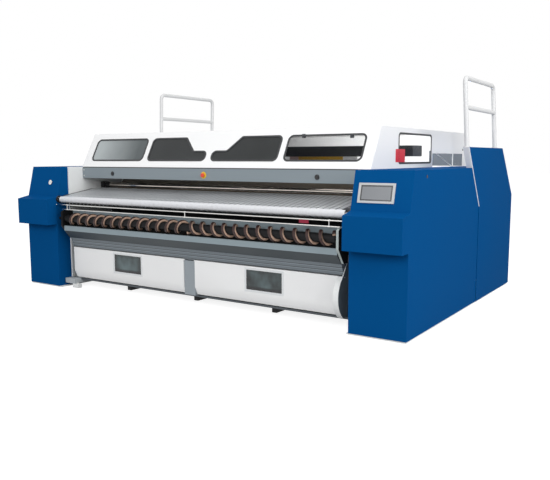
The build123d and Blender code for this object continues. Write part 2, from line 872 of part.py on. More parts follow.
def door_rail():
    """Rail over the lower doors: its face steps back twice on the way down."""
    low, high = rail_depths
    bottom, top = rail_heights
    step = (top - bottom) / 3
    outline = [(high, top), (high, bottom)]
    for index in range(3, 0, -1):
        outline.append((low + 2 * index * rail_groove, top - index * step))
        outline.append((low + (2 * index - 1) * rail_groove, top - (index - 1) * step - rail_groove))
        outline.append((low + (2 * index - 2) * rail_groove, top - (index - 1) * step - rail_groove))
    outline.append((low, top))
    return prism(outline, -bracket_x, bracket_x)


# ================================================================ lower doors
def door_x(side_x):
    """Distance from the middle to a door's inner and outer edges."""
    return post_half + door_gap, side_x - door_gap


def door_window_x(side):
    """Distance of a door's window from the machine's middle; side is 1 for the right-hand door."""
    return sum(door_x(bracket_x)) / 2 - door_window_inset + side * door_window_shift


def right_cheek():
    """Curved end plate beside the right-hand door, with its front edge folded in as a flange."""
    spots = [Vector(back(cheek_crown[0]), cheek_crown[1]), Vector(back(cheek_belly[0]), cheek_belly[1]),
             Vector(back(cheek_heel_depth), beam_heights[1])]
    crown, heel = spots[0], spots[2]
    rear = back(rail_depths[1])
    curve = ThreePointArc(*spots)
    lines = Polyline(heel, (rear, beam_heights[1]), (rear, rail_heights[1]),
                     (back(cheek_top_depth), rail_heights[1]), crown)
    plate = extrude(Plane.YZ * make_face(curve + lines), cheek_thickness, dir=(1, 0, 0))
    centre = curve.arc_center
    inside = [centre + (spot - centre) * (1 - sheet / curve.radius) for spot in spots]
    ends = [Line(crown, inside[0]), Line(heel, inside[2])]
    band = make_face([curve, ThreePointArc(*inside)] + ends)
    flange = extrude(Plane.YZ * band, -cheek_flange - overcut, dir=(1, 0, 0))
    return Pos(bracket_x, 0, 0) * (plate + Pos(overcut, 0, 0) * flange)


def left_cheek():
    """End plate beside the left-hand door; its front edge is folded as the door is."""
    high = rail_heights[1]
    outline = [
        (rail_depths[1], beam_heights[1]), (rail_depths[1], high), (cheek_top_depth, high),
        (door_face, door_top), (door_face, door_fold), (door_bottom_depth, door_bottom),
        (sill_depths[0], beam_heights[1]),
    ]
    return prism(outline, -bracket_x - cheek_thickness, -bracket_x)


def end_cheeks():
    """Both cheeks, bored for the doors' outer hinge pins."""
    cheeks = []
    for side, plate in ((1, right_cheek()), (-1, left_cheek())):
        inner, outer = sorted((side * bracket_x, side * (bracket_x + cheek_thickness)))
        span = (inner - overcut, outer + overcut)
        cheeks.append(plate - rod_x(door_pin_radius + running_fit, *span, door_hinge))
    return cheeks


def centre_post():
    """Grey upright between the two doors."""
    low, high = post_depths
    post = block((-post_half, post_half), (low, high), (beam_heights[1], rail_heights[0]))
    post -= block((-post_half + sheet, post_half - sheet), (low + sheet, high + overcut),
                  (beam_heights[1] - overcut, rail_heights[0] + overcut))
    holes = rod_x(door_pin_radius + running_fit, -post_half - overcut, post_half + overcut, door_hinge)
    return post - holes


def door_panel(window_x, side_x):
    """Lower door: a folded pan with a window hole, that swings up on two pins at its top."""
    outline = [
        (door_face, door_top), (door_face, door_fold), (door_bottom_depth, door_bottom),
        (door_face + door_pan, door_bottom), (door_face + door_pan, door_top),
    ]
    start, end = door_x(side_x)
    solid = prism(outline, start, end)
    panel = hollow(solid, sheet, faces_at(solid, "Y", back(door_face + door_pan)))
    width, tall = door_window_size
    hole = block((window_x - width / 2, window_x + width / 2),
                 (door_face - overcut, door_face + sheet + overcut),
                 (door_window_height - tall / 2, door_window_height + tall / 2))
    panel -= hole
    panel += rod_x(door_pin_radius, start - door_pin_length, start + sheet, door_hinge)
    pin_end = bracket_x - door_gap + door_pin_length
    return panel + rod_x(door_pin_radius, end - sheet, pin_end, door_hinge)


def door_window(window_x):
    """Pane behind the right-hand door's window hole."""
    half = door_window_size[0] / 2 + door_window_lap
    reach = door_window_size[1] / 2 + door_window_lap
    return block((window_x - half, window_x + half), (door_face + sheet, door_face + sheet + pane),
                 (door_window_height - reach, door_window_height + reach))


# ================================================================ safety bar
def safety_bar():
    """Two bright rods joined by short posts; the upper one is the pivot."""
    bar = rod_x(bar_radius, -bar_pivot_half, bar_pivot_half, (bar_depth, bar_upper_height))
    bar += rod_x(bar_radius, -bar_half, bar_half, (bar_depth, bar_lower_height))
    for x in bar_posts:
        bar += rod_z(bar_post_radius, (bar_lower_height, bar_upper_height), x, bar_depth)
    return bar


# ================================================================ rolls, chests, press roller
def journal(depth, end):
    """Right-hand journal of a roll, with the flange that is bolted to the roll's end plate."""
    place = (depth, roll_height)
    half = roll_length / 2
    flange_radius, flange = journal_flange
    return rod_x(journal_radius, half, end, place) + rod_x(flange_radius, half, half + flange, place)


def ironing_roll(depth, right_end):
    """Steel cylinder with end plates and journals; the hollow left journal draws the vapour off."""
    place = (depth, roll_height)
    half = roll_length / 2
    radius = roll_radius - padding
    cylinder = rod_x(radius, -half, half, place)
    cylinder -= rod_x(radius - roll_wall, -half + roll_end_plate, half - roll_end_plate, place)
    left_end = duct_x - duct_radius + journal_tail
    bore = rod_x(journal_bore, -left_end - overcut, -half + roll_end_plate + overcut, place)
    return [cylinder - bore, mirrored(journal(depth, left_end)) - bore, journal(depth, right_end)]


def roll_padding(depth):
    """Felt padding round the roll."""
    place = (depth, roll_height)
    half = roll_length / 2
    sleeve = rod_x(roll_radius, -half, half, place)
    return sleeve - rod_x(roll_radius - padding + padding_fit, -half - overcut, half + overcut, place)


def roll_bearings():
    """Bearing blocks on the outside of the side frames."""
    blocks = []
    half = bearing_block / 2
    for depth in roll_depths:
        body = block((inner_x, inner_x + bearing_thickness), (depth - half, depth + half),
                     (roll_height - half, roll_height + half))
        span = (inner_x - overcut, inner_x + bearing_thickness + overcut)
        body -= rod_x(journal_radius + running_fit, *span, (depth, roll_height))
        blocks += both_ends(body)
    return blocks


def half_tube(outer, inner, x_start, x_end, place):
    """Lower half of a thick tube along X."""
    depth, height = place
    tube = rod_x(outer, x_start, x_end, place) - rod_x(inner, x_start - overcut, x_end + overcut, place)
    reach = outer + overcut
    return tube - block((x_start - overcut, x_end + overcut), (depth - reach, depth + reach),
                        (height, height + reach))


def chest(depth):
    """Double-walled heated trough under a roll, with a steam and a condensate opening below."""
    place = (depth, roll_height)
    inner = roll_radius + chest_gap
    outer = inner + chest_thickness
    half = roll_length / 2
    body = half_tube(outer, inner, -half, half, place)
    space = half_tube(outer - chest_wall, inner + chest_wall, -half + chest_wall, half - chest_wall, place)
    space = Pos(0, 0, -chest_wall) * space
    space &= half_tube(outer - chest_wall, inner + chest_wall, -half, half, place)
    body -= space
    bottom = roll_height - outer
    for x, pipe in ((steam_x, steam_pipe), (condensate_x, condensate_pipe)):
        bore = pipe["outside"] - pipe["wall"]
        body -= rod_z(bore, (bottom - overcut, bottom + 2 * chest_wall), x, depth)
    return body


def bridge_plate():
    """Plate that carries the linen from the first chest to the second."""
    reach = roll_radius + chest_gap + chest_thickness - bridge_overlap
    return block((-roll_length / 2, roll_length / 2), (roll_depths[0] + reach, roll_depths[1] - reach),
                 (roll_height, roll_height + bridge_thickness))


def press_place():
    """Depth and height of the press roller's axis, on the front of the first roll."""
    distance = roll_radius + press_radius + press_gap
    angle = radians(press_angle)
    return roll_depths[0] + distance * cos(angle), roll_height + distance * sin(angle)


def press_roller():
    """Bright steel roller that lies against the first roll above the feed table."""
    place = press_place()
    roller = rod_x(press_radius, -press_half, press_half, place)
    shaft_half = frame_x - press_shaft_inset
    return roller + rod_x(press_shaft_radius, -shaft_half, shaft_half, place)


def press_roller_blocks():
    """Black bearing blocks on the inside of the side frames."""
    place = press_place()
    half = press_block / 2
    body = block((press_half + press_block_gap, frame_x), (place[0] - half, place[0] + half),
                 (place[1] - half, place[1] + half))
    body -= rod_x(press_shaft_radius + running_fit, press_half, frame_x - press_shaft_inset + overcut, place)
    return both_ends(body)


# ================================================================ chain drive
def sprocket(teeth, tip_radius, place, bore):
    """Toothed wheel along X with tapered teeth."""
    root = tip_radius - tooth_height
    points = []
    for index in range(teeth):
        for share, rise in tooth_profile:
            radius = root + rise * tooth_height
            angle = radians(360 * (index + share) / teeth)
            points.append((radius * cos(angle), radius * sin(angle)))
    face = make_face(Polyline(*points, close=True)) - Circle(bore)
    wheel = extrude(Plane.YZ * face, sprocket_thickness, dir=(1, 0, 0))
    return Pos(sprocket_x, back(place[0]), place[1]) * wheel


def drive_places():
    """Axis and tip radius of each wheel that the chain runs round."""
    wheels = [((depth, roll_height), roll_sprocket_radius) for depth in roll_depths]
    return wheels + [((motor_depth, motor_height), motor_sprocket_radius)]


def chain_outline(extra):
    edges = []
    for (depth, height), radius in drive_places():
        edges += (Pos(back(depth), height) * Circle(radius + extra)).edges()
    return make_hull(edges)


def drive_chain():
    """Roller chain round the three sprockets, as one closed band."""
    band = chain_outline(chain_clearance + chain_thickness) - chain_outline(chain_clearance)
    return Pos(sprocket_x, 0, 0) * extrude(Plane.YZ * band, sprocket_thickness, dir=(1, 0, 0))


def gearbox_start():
    return sprocket_x + sprocket_thickness + gearbox_gap


def drive_motor():
    """Main geared motor on its stand in the right-hand casing."""
    start = gearbox_start()
    width, deep, tall = gearbox_size
    body = block((start, start + width), (motor_depth - deep / 2, motor_depth + deep / 2),
                 (motor_height - tall / 2, motor_height + tall / 2))
    body += block((start, start + width), (motor_depth - deep / 2, motor_depth + deep / 2),
                  (plinth_height, motor_height - tall / 2))
    body += rod_y(drive_motor_radius, (motor_depth + deep / 2, motor_depth + deep / 2 + drive_motor_length),
                  start + width / 2, motor_height)
    span = (start - overcut, start + gearbox_bore)
    return body - rod_x(output_shaft_radius + running_fit, *span, (motor_depth, motor_height))


def motor_sprocket():
    """Output shaft with its small sprocket."""
    place = (motor_depth, motor_height)
    span = (sprocket_x - output_shaft_stub, gearbox_start() + output_shaft_seat)
    shaft = rod_x(output_shaft_radius, *span, place)
    return shaft + sprocket(motor_sprocket_teeth, motor_sprocket_radius, place, output_shaft_radius)


# ================================================================ suction fan
def suction_duct():
    """Duct that joins the left journals of both rolls and leads down into the fan."""
    header = (roll_depths[0] - duct_overrun, roll_depths[1] + duct_overrun)
    branch_end = duct_x - duct_radius - branch_gap
    outside = rod_y(duct_radius, header, -duct_x, roll_height)
    inner_header = (header[0] + duct_wall, header[1] - duct_wall)
    inside = rod_y(duct_radius - duct_wall, inner_header, -duct_x, roll_height)
    outside += rod_z(duct_radius, (fan_heights[1], roll_height), -duct_x, fan_depth)
    inside += rod_z(duct_radius - duct_wall, (fan_heights[1] - overcut, roll_height), -duct_x, fan_depth)
    for depth in roll_depths:
        place = (depth, roll_height)
        outside += rod_x(journal_radius + branch_collar, -duct_x, -branch_end, place)
        inside += rod_x(journal_radius + shaft_passage, -duct_x, -branch_end + overcut, place)
    return outside - inside


def exhaust_fan():
    """Fan casing with its outlet pipe, and the spigot on top that a duct slips over."""
    low, high = fan_heights
    x = -duct_x
    casing = rod_z(fan_radius, (low, high), x, fan_depth)
    casing += block((x - exhaust_radius, x + exhaust_radius), (fan_depth, fan_outlet_depth), (low, high))
    casing += rod_z(exhaust_radius, (low, end_height), x, fan_outlet_depth)
    casing += rod_z(spigot_radius, (end_height, end_height + spigot_height), x, fan_outlet_depth)
    flange_radius, flange_height = spigot_flange
    casing += rod_z(flange_radius, (end_height, end_height + flange_height), x, fan_outlet_depth)
    wall = duct_wall
    space = rod_z(fan_radius - wall, (low + wall, high - wall), x, fan_depth)
    space += block((x - exhaust_radius + wall, x + exhaust_radius - wall), (fan_depth, fan_outlet_depth),
                   (low + wall, high - wall))
    space += rod_z(exhaust_radius - wall, (low + wall, end_height + spigot_height + overcut), x,
                   fan_outlet_depth)
    space += rod_z(duct_radius - wall, (high - wall - overcut, high + overcut), x, fan_depth)
    space += rod_z(fan_shaft_radius + shaft_passage, (low - overcut, low + wall + overcut), x, fan_depth)
    return casing - space


def fan_motor():
    """Motor under the fan, standing on the plinth."""
    top = fan_heights[0]
    body = rod_z(fan_motor_radius, (plinth_height, top), -duct_x, fan_depth)
    span = (top - fan_motor_bore, top + overcut)
    return body - rod_z(fan_shaft_radius + running_fit, span, -duct_x, fan_depth)


def fan_impeller():
    """Bladed wheel on the motor's shaft."""
    low, high = impeller_heights
    x = -duct_x
    hub_radius, hub_height = impeller_hub
    length, thickness = blade_size
    wheel = rod_z(impeller_radius, (low, low + impeller_plate), x, fan_depth)
    wheel += rod_z(hub_radius, (low, low + hub_height), x, fan_depth)
    wheel += rod_z(fan_shaft_radius, (fan_heights[0] - fan_shaft_seat, low + hub_height), x, fan_depth)
    centre = Pos(x, back(fan_depth), (low + high) / 2)
    blade = Pos(impeller_radius - blade_inset - length / 2, 0, 0) * Box(length, thickness, high - low)
    for index in range(impeller_blades):
        wheel += centre * Rot(0, 0, 360 * index / impeller_blades) * blade
    return wheel


# ================================================================ delivery side
def delivery_roller():
    roller = rod_x(delivery_radius, -delivery_half, delivery_half, delivery)
    return roller + rod_x(delivery_shaft_radius, -inner_x, inner_x, delivery)


def delivery_chute():
    """Sloping sheet that the finished linen slides down at the rear."""
    (top_depth, top_height), (low_depth, low_height) = chute_points
    outline = [
        (top_depth, top_height), (low_depth, low_height), (low_depth, low_height - sheet),
        (top_depth, top_height - sheet),
    ]
    return prism(outline, -frame_x, frame_x)


def rear_panels():
    """White panels across the rear, below and above the delivery opening."""
    lower_depth = case_depth - rear_panel_inset
    lower = block((-frame_x, frame_x), (lower_depth - sheet, lower_depth), rear_panel_lower)
    for x, pipe in ((steam_x, steam_pipe), (condensate_x, condensate_pipe)):
        lower -= rod_y(pipe["outside"] + pipe_passage, (lower_depth - sheet - overcut, lower_depth + overcut),
                       x, pipe_height)
    upper = block((-frame_x, frame_x), (frame_rear - sheet, frame_rear), rear_panel_upper)
    return [lower, upper]


def pipe_run(x, pipe):
    """Pipe from a flange at the rear to the underside of both chests."""
    radius = pipe["outside"]
    bore = radius - pipe["wall"]
    top = roll_height - (roll_radius + chest_gap + chest_thickness) + pipe_lap
    flange_start = flange_face_depth - flange_thickness
    run = rod_y(radius, (roll_depths[0] - radius, flange_start + overcut), x, pipe_height)
    inside = rod_y(bore, (roll_depths[0] - bore, flange_face_depth + overcut), x, pipe_height)
    for depth in roll_depths:
        run += rod_z(radius, (pipe_height, top), x, depth)
        inside += rod_z(bore, (pipe_height, top + overcut), x, depth)
    run += rod_y(pipe["flange"], (flange_start, flange_face_depth), x, pipe_height)
    for index in range(flange_bolts):
        angle = radians(45 + index * 360 / flange_bolts)
        hole = rod_y(flange_hole, (flange_start - overcut, flange_face_depth + overcut),
                     x + pipe["pitch"] * cos(angle), pipe_height + pipe["pitch"] * sin(angle))
        run -= hole
    run -= inside
    outer = roll_radius + chest_gap + chest_thickness + seat_gap
    for depth in roll_depths:
        run -= rod_x(outer, x - 2 * radius, x + 2 * radius, (depth, roll_height))
    return run


def steam_pipes():
    return [pipe_run(steam_x, steam_pipe), pipe_run(condensate_x, condensate_pipe)]


# ================================================================ controls
def console_plane(x, height):
    """Plane on the sloping console face of the right-hand casing."""
    rise = end_height - nose_top
    run = console_lean - nose_top_depth
    return Plane(origin=(x, back(console_depth(height)), height), x_dir=(1, 0, 0), z_dir=(0, -rise, run))


def screen_bezel():
    """Silver frame of the touch panel."""
    plane = console_plane(*screen_centre)
    frame = extrude(plane * Rectangle(*screen_frame), screen_frame_proud, dir=plane.z_dir)
    recess = extrude(plane * (Pos(0, 0, screen_recess) * Rectangle(*screen_glass)), screen_frame_proud,
                     dir=plane.z_dir)
    return frame - recess


def screen_panel():
    """Glass of the touch panel, in the recess of its frame."""
    plane = console_plane(*screen_centre)
    width, height = screen_glass
    face = plane * (Pos(0, 0, screen_recess) * Rectangle(width - 2 * screen_fit, height - 2 * screen_fit))
    return extrude(face, screen_glass_thickness, dir=plane.z_dir)


def control_cabinet():
    """Sheet box for the electrical gear in the right-hand casing, with a cable hole below."""
    box = block(cabinet_x, cabinet_depths, cabinet_heights)
    inside = block((cabinet_x[0] + sheet, cabinet_x[1] - sheet),
                   (cabinet_depths[0] + sheet, cabinet_depths[1] - sheet),
                   (cabinet_heights[0] + sheet, cabinet_heights[1] - sheet))
    hole = rod_z(cabinet_cable_hole, (cabinet_heights[1] - 2 * sheet, cabinet_heights[1] + overcut),
                 sum(cabinet_x) / 2, sum(cabinet_depths) / 2)
    return box - inside - hole


def push_button(x):
    """Black push button in the face of the front beam."""
    front = beam_face_depth - button_proud
    cap = rod_y(button_radius, (front, front + button_cap), x, button_height)
    return cap + rod_y(stem_radius, (front + overcut, beam_face_depth + stem_length), x, button_height)


def button_collars():
    """Black ring round each push button."""
    collars = []
    for x in button_positions:
        front = beam_face_depth - collar_proud
        ring = rod_y(collar_radius, (front, beam_face_depth), x, button_height)
        span = (front - overcut, beam_face_depth + overcut)
        ring -= rod_y(button_radius + collar_fit, span, x, button_height)
        collars.append(ring)
    return collars


def gauge():
    """Round gauge on the sloping console face of the left-hand casing."""
    x, height = gauge_place
    plane = console_plane(x, height)
    body = extrude(plane * Circle(gauge_radius), gauge_proud, dir=plane.z_dir)
    dial = extrude(plane * (Pos(0, 0, gauge_proud - gauge_recess) * Circle(gauge_radius - gauge_rim)),
                   gauge_proud, dir=plane.z_dir)
    return body - dial


def stop_plate():
    """Round yellow plate behind the stop button."""
    front = beam_face_depth - stop_plate_thickness
    plate = rod_y(stop_plate_radius, (front, beam_face_depth), 0, button_height)
    span = (front - overcut, beam_face_depth + overcut)
    return plate - rod_y(stem_radius + running_fit, span, 0, button_height)


def stop_button():
    """Red mushroom button on its stem."""
    face = beam_face_depth - stop_plate_thickness
    rear = face - stop_travel_gap
    head = rod_y(stop_radius, (rear - stop_head, rear), 0, button_height)
    edge = head.edges().filter_by(GeomType.CIRCLE).sort_by(Axis.Y)[0]
    head = fillet(edge, stop_edge)
    return head + rod_y(stem_radius, (rear - overcut, beam_face_depth + stem_length), 0, button_height)


# ================================================================ handrails
def handrail(x, depths, foot, middle, top, lean):
    """Guard rail loop of bent tube with a middle rail, on two flanged feet; its top leans inwards."""
    front, rear = depths
    inward = -1 if x > 0 else 1
    height = top - foot
    span = rear - front
    corners = [(0, 0), (0, height), (span, height), (span, 0)]
    plane = Plane(origin=(x, back(front), foot), x_dir=(0, 1, 0), z_dir=(height, 0, -inward * lean))
    path = FilletPolyline(*corners, radius=rail_bend)
    start = Plane(origin=(0, 0, 0), x_dir=(1, 0, 0), z_dir=(0, 1, 0))
    tube = sweep(start * Circle(rail_radius), path=path)
    bar = Pos(span / 2, middle - foot, 0) * Rot(0, 90, 0) * Cylinder(rail_radius, span)
    loop = plane * (tube + bar)
    for depth in depths:
        loop += rod_z(rail_flange_radius, (foot, foot + rail_flange_thickness), x, depth)
    reach = rail_flange_radius + lean
    below = block((x - reach, x + reach), (front - reach, rear + reach), (foot - reach, foot))
    return loop - below


def save(name, pieces):
    """Write one named sub-part; several pieces become a group of separate solids."""
    pieces = pieces if isinstance(pieces, list) else [pieces]
    solids = [solid for piece in pieces for solid in piece.solids()]
    export_step(Compound(solids), f"parts/{name}.step")


def flights():
    """Both halves of the spreading roller's screw, of opposite hands, that meet near the middle."""
    left, right = flight_margins
    spans = ((flight_meeting, spreader_half - right, 1), (left - spreader_half, flight_meeting, -1))
    halves = []
    for start, end, hand in spans:
        flight = Rot(0, 90, 0) * spreader_flight(end - start, hand)
        halves.append(Pos(start, back(spreader[0]), spreader[1]) * flight)
    return halves


def front_covers():
    """Both front covers; the left one lets the spreading roller's shaft through to its motor."""
    right = front_cover()
    span = (-inner_x - sheet - overcut, -inner_x + overcut)
    shaft_hole = rod_x(feed_shaft_radius + running_fit, *span, spreader)
    return [right, mirrored(right) - shaft_hole]


def rear_covers():
    """Both rear covers; the left one has a hole in its top for the exhaust pipe."""
    right = rear_cover()
    hole = rod_z(exhaust_radius + shaft_passage, (end_height - 2 * sheet, end_height + overcut), -duct_x,
                 fan_outlet_depth)
    return [right, mirrored(right) - hole]


def bearing_blocks():
    return roll_bearings() + press_roller_blocks() + feed_bearings()


def sprocket_on_roll(depth):
    return sprocket(roll_sprocket_teeth, roll_sprocket_radius, (depth, roll_height), journal_radius)


def build():
    front_depth, rear_depth = roll_depths
    journal_end = sprocket_x + sprocket_thickness + journal_overhang
    right_window_x, left_window_x = door_window_x(1), door_window_x(-1)
    parts = {
        "plinths": plinths(),
        "base_frame": floor_beams() + [outrigger(), door_sill()] + chest_saddles(),
        "levelling_feet": levelling_feet(),
        "side_frames": side_frames(),
        "front_covers": front_covers(),
        "side_covers": both_ends(side_cover()),
        "rear_covers": rear_covers(),
        "tower_posts": both_ends(tower_post()),
        "cover_locks": cover_locks(),
        "canopy_shell": canopy_shell(),
        "window_panes": window_panes(),
        "rubber_seals": rubber_seals(),
        "front_beam": front_beam(),
        "hood_beam_and_stays": hood_beam() + hood_stays(),
        "feed_roller_front": feed_roller(feed_front, feed_shaft_half),
        "feed_roller_rear": feed_roller(feed_rear, inner_x),
        "feed_belts": feed_belts(),
        "feed_table_bed": feed_table_bed(),
        "gearmotors": front_gearmotors() + [drive_motor()],
        "spreader_core": spreader_core(),
        "spreader_flights": flights(),
        "spreader_brackets": spreader_brackets(),
        "catch_trough": catch_trough(),
        "apron": apron(),
        "door_rail": door_rail(),
        "end_cheeks": end_cheeks(),
        "centre_post": centre_post(),
        "door_right_panel": door_panel(right_window_x, bracket_x - cheek_flange),
        "door_right_window": door_window(right_window_x),
        "door_left_panel": mirrored(door_panel(left_window_x, bracket_x)),
        "door_left_window": mirrored(door_window(left_window_x)),
        "safety_bar": safety_bar(),
        "roll_front": ironing_roll(front_depth, journal_end),
        "roll_front_padding": roll_padding(front_depth),
        "roll_rear": ironing_roll(rear_depth, journal_end),
        "roll_rear_padding": roll_padding(rear_depth),
        "bearing_blocks": bearing_blocks(),
        "chests": [chest(depth) for depth in roll_depths],
        "bridge_plate": bridge_plate(),
        "press_roller": press_roller(),
        "sprocket_front": sprocket_on_roll(front_depth),
        "sprocket_rear": sprocket_on_roll(rear_depth),
        "motor_sprocket": motor_sprocket(),
        "drive_chain": drive_chain(),
        "suction_ducting": [exhaust_fan(), fan_motor(), suction_duct()],
        "fan_impeller": fan_impeller(),
        "delivery_roller": delivery_roller(),
        "delivery_chute": delivery_chute(),
        "rear_panels": rear_panels(),
        "steam_pipes": steam_pipes(),
        "screen_bezel": screen_bezel(),
        "screen_panel": screen_panel(),
        "control_cabinet": control_cabinet(),
        "gauge": gauge(),
        "push_button_left": push_button(button_positions[0]),
        "push_button_right": push_button(button_positions[1]),
        "button_collars": button_collars(),
        "stop_plate": stop_plate(),
        "stop_button": stop_button(),
        "handrails": [handrail(**right_rail), handrail(**left_rail)],
    }
    os.makedirs("parts", exist_ok=True)
    for name, pieces in parts.items():
        save(name, pieces)
    print(len(parts), "sub-parts written")


build()
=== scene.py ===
# Flatwork ironer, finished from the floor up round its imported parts. Metres: X runs along the
# machine, -Y is the feeding side and +Z is up.
import json
from math import acos, atan2, ceil, cos, hypot, pi, radians, sin
from random import Random

import bmesh
import bpy
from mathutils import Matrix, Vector

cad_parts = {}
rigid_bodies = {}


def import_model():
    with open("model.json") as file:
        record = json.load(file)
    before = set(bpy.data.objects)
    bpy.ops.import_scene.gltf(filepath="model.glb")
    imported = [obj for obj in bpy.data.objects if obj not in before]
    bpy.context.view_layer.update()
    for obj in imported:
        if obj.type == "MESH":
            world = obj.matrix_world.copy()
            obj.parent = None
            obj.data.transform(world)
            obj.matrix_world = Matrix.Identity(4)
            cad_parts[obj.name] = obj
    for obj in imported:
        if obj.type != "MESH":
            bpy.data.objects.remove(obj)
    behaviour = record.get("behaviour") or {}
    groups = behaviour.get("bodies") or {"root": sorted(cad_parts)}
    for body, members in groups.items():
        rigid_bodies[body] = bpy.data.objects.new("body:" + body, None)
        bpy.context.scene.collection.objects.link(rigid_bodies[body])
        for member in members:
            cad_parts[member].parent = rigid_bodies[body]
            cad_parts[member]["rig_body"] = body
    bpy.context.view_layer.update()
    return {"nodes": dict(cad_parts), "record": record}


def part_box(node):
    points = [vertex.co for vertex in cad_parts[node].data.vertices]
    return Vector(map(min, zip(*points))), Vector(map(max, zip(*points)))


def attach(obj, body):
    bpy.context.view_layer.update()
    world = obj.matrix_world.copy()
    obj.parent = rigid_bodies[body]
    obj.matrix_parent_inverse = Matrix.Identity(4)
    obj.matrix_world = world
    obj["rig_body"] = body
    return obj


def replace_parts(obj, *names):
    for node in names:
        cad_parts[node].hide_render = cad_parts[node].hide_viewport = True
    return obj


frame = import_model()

cad_nodes = frame["nodes"]


# ---------------------------------------------------------------- studio
# A plain pale floor under a white surround, which polished steel and glass show as well. Broad
# soft lamps hang in front, above and at the right end, and one lights the hood from inside.
class Flow:
    """A socket on its way through a node tree: arithmetic on it adds the Math nodes."""

    def __init__(self, nodes, socket):
        self.nodes = nodes
        self.socket = socket

    def out(self, name):
        return Flow(self.nodes, self.socket.node.outputs[name])

    def worked(self, operation, first, second=0.0):
        return self.nodes.node("ShaderNodeMath", {"operation": operation}, {0: first, 1: second})

    def __add__(self, other):
        return self.worked("ADD", self, other)

    def __sub__(self, other):
        return self.worked("SUBTRACT", self, other)

    def __rsub__(self, other):
        return self.worked("SUBTRACT", other, self)

    def __mul__(self, other):
        return self.worked("MULTIPLY", self, other)

    def __gt__(self, other):
        return self.worked("GREATER_THAN", self, other)

    def __lt__(self, other):
        return self.worked("LESS_THAN", self, other)

    def either(self, other):
        return self.worked("MAXIMUM", self, other)

    def part(self):
        return self.worked("FRACT", self)

    def size(self):
        return self.worked("ABSOLUTE", self)

    __radd__ = __add__
    __rmul__ = __mul__


class Nodes:
    """A node tree in which one method makes every node."""

    def __init__(self, tree):
        self.tree = tree
        tree.nodes.clear()

    def node(self, kind, settings=None, sockets=None, out=0):
        made = self.tree.nodes.new(kind)
        for name, value in (settings or {}).items():
            setattr(made, name, value)
        for name, value in (sockets or {}).items():
            self.feed(made.inputs[name], value)
        return Flow(self, made.outputs[out] if made.outputs else None)

    def feed(self, socket, value):
        if isinstance(value, Flow):
            self.tree.links.new(value.socket, socket)
        else:
            socket.default_value = value

    def sees_surround(self):
        rays = self.node("ShaderNodeLightPath")
        mirrored = rays.out("Is Glossy Ray").either(rays.out("Is Transmission Ray"))
        return rays.out("Is Camera Ray").either(mirrored)


white = (1, 1, 1, 1)
sky_strength = 0.55
surround = bpy.data.worlds.new("surround")
bpy.context.scene.world = surround
surround.use_nodes = True
sky = Nodes(surround.node_tree)
sky_glow = sky_strength + (1 - sky_strength) * sky.sees_surround()
sky_shader = sky.node("ShaderNodeBackground", {}, {"Color": white, "Strength": sky_glow})
sky.node("ShaderNodeOutputWorld", {}, {"Surface": sky_shader})

floor_reach = 60
floor_grey = 0.42
floor_lift = 0.86
floor_mesh = bpy.data.meshes.new("studio_floor")
corners = [(x, y, 0) for x, y in ((-1, -1), (1, -1), (1, 1), (-1, 1))]
floor_mesh.from_pydata([Vector(c) * floor_reach for c in corners], [], [(0, 1, 2, 3)])
floor_finish = bpy.data.materials.new("pale_floor")
floor_finish.use_nodes = True
ground = Nodes(floor_finish.node_tree)
matt = ground.node("ShaderNodeBsdfDiffuse", {}, {"Color": (floor_grey, floor_grey, floor_grey, 1)})
lift = ground.node("ShaderNodeEmission", {}, {"Strength": ground.sees_surround() * floor_lift})
both = ground.node("ShaderNodeAddShader", {}, {0: matt, 1: lift})
ground.node("ShaderNodeOutputMaterial", {}, {"Surface": both})
floor_mesh.materials.append(floor_finish)
studio_floor = bpy.data.objects.new("studio_floor", floor_mesh)
studio_floor.location.z = -0.0005
bpy.context.scene.collection.objects.link(studio_floor)


def soft_lamp(name, place, target, size, watts):
    light = bpy.data.lights.new(name, "AREA")
    light.shape = "RECTANGLE"
    light.size, light.size_y = size
    light.energy = watts
    lamp = bpy.data.objects.new(name, light)
    lamp.location = place
    lamp.rotation_euler = (Vector(target) - Vector(place)).to_track_quat("-Z", "Y").to_euler()
    bpy.context.scene.collection.objects.link(lamp)
    lamp.visible_camera = False


soft_lamp("front_lamp", (1.5, -9.5, 4.6), (0.3, -1.2, 1.0), (8, 4), 385)
soft_lamp("end_lamp", (9.5, -2.5, 4.2), (2.4, 0, 1.0), (5, 4), 440)
soft_lamp("top_lamp", (0.5, -1.5, 8.5), (0, 0, 1.0), (8, 6), 150)
soft_lamp("hood_lamp", (1.1, 0.25, 1.88), (1.1, 1.2, 1.72), (1.6, 0.1), 32)

camera_place = (4.72, -6.82, 1.61)
camera_tilt, camera_roll, camera_heading = 82.83, 0.09, 33.77
view_camera = bpy.data.cameras.new("view")
view_camera.sensor_width = 36
view_camera.lens = 42.83
viewer = bpy.data.objects.new("view", view_camera)
viewer.location = camera_place
viewer.rotation_euler = (radians(camera_tilt), radians(camera_roll), radians(camera_heading))
bpy.context.scene.collection.objects.link(viewer)
bpy.context.scene.camera = viewer
bpy.context.scene.view_settings.view_transform = "Standard"


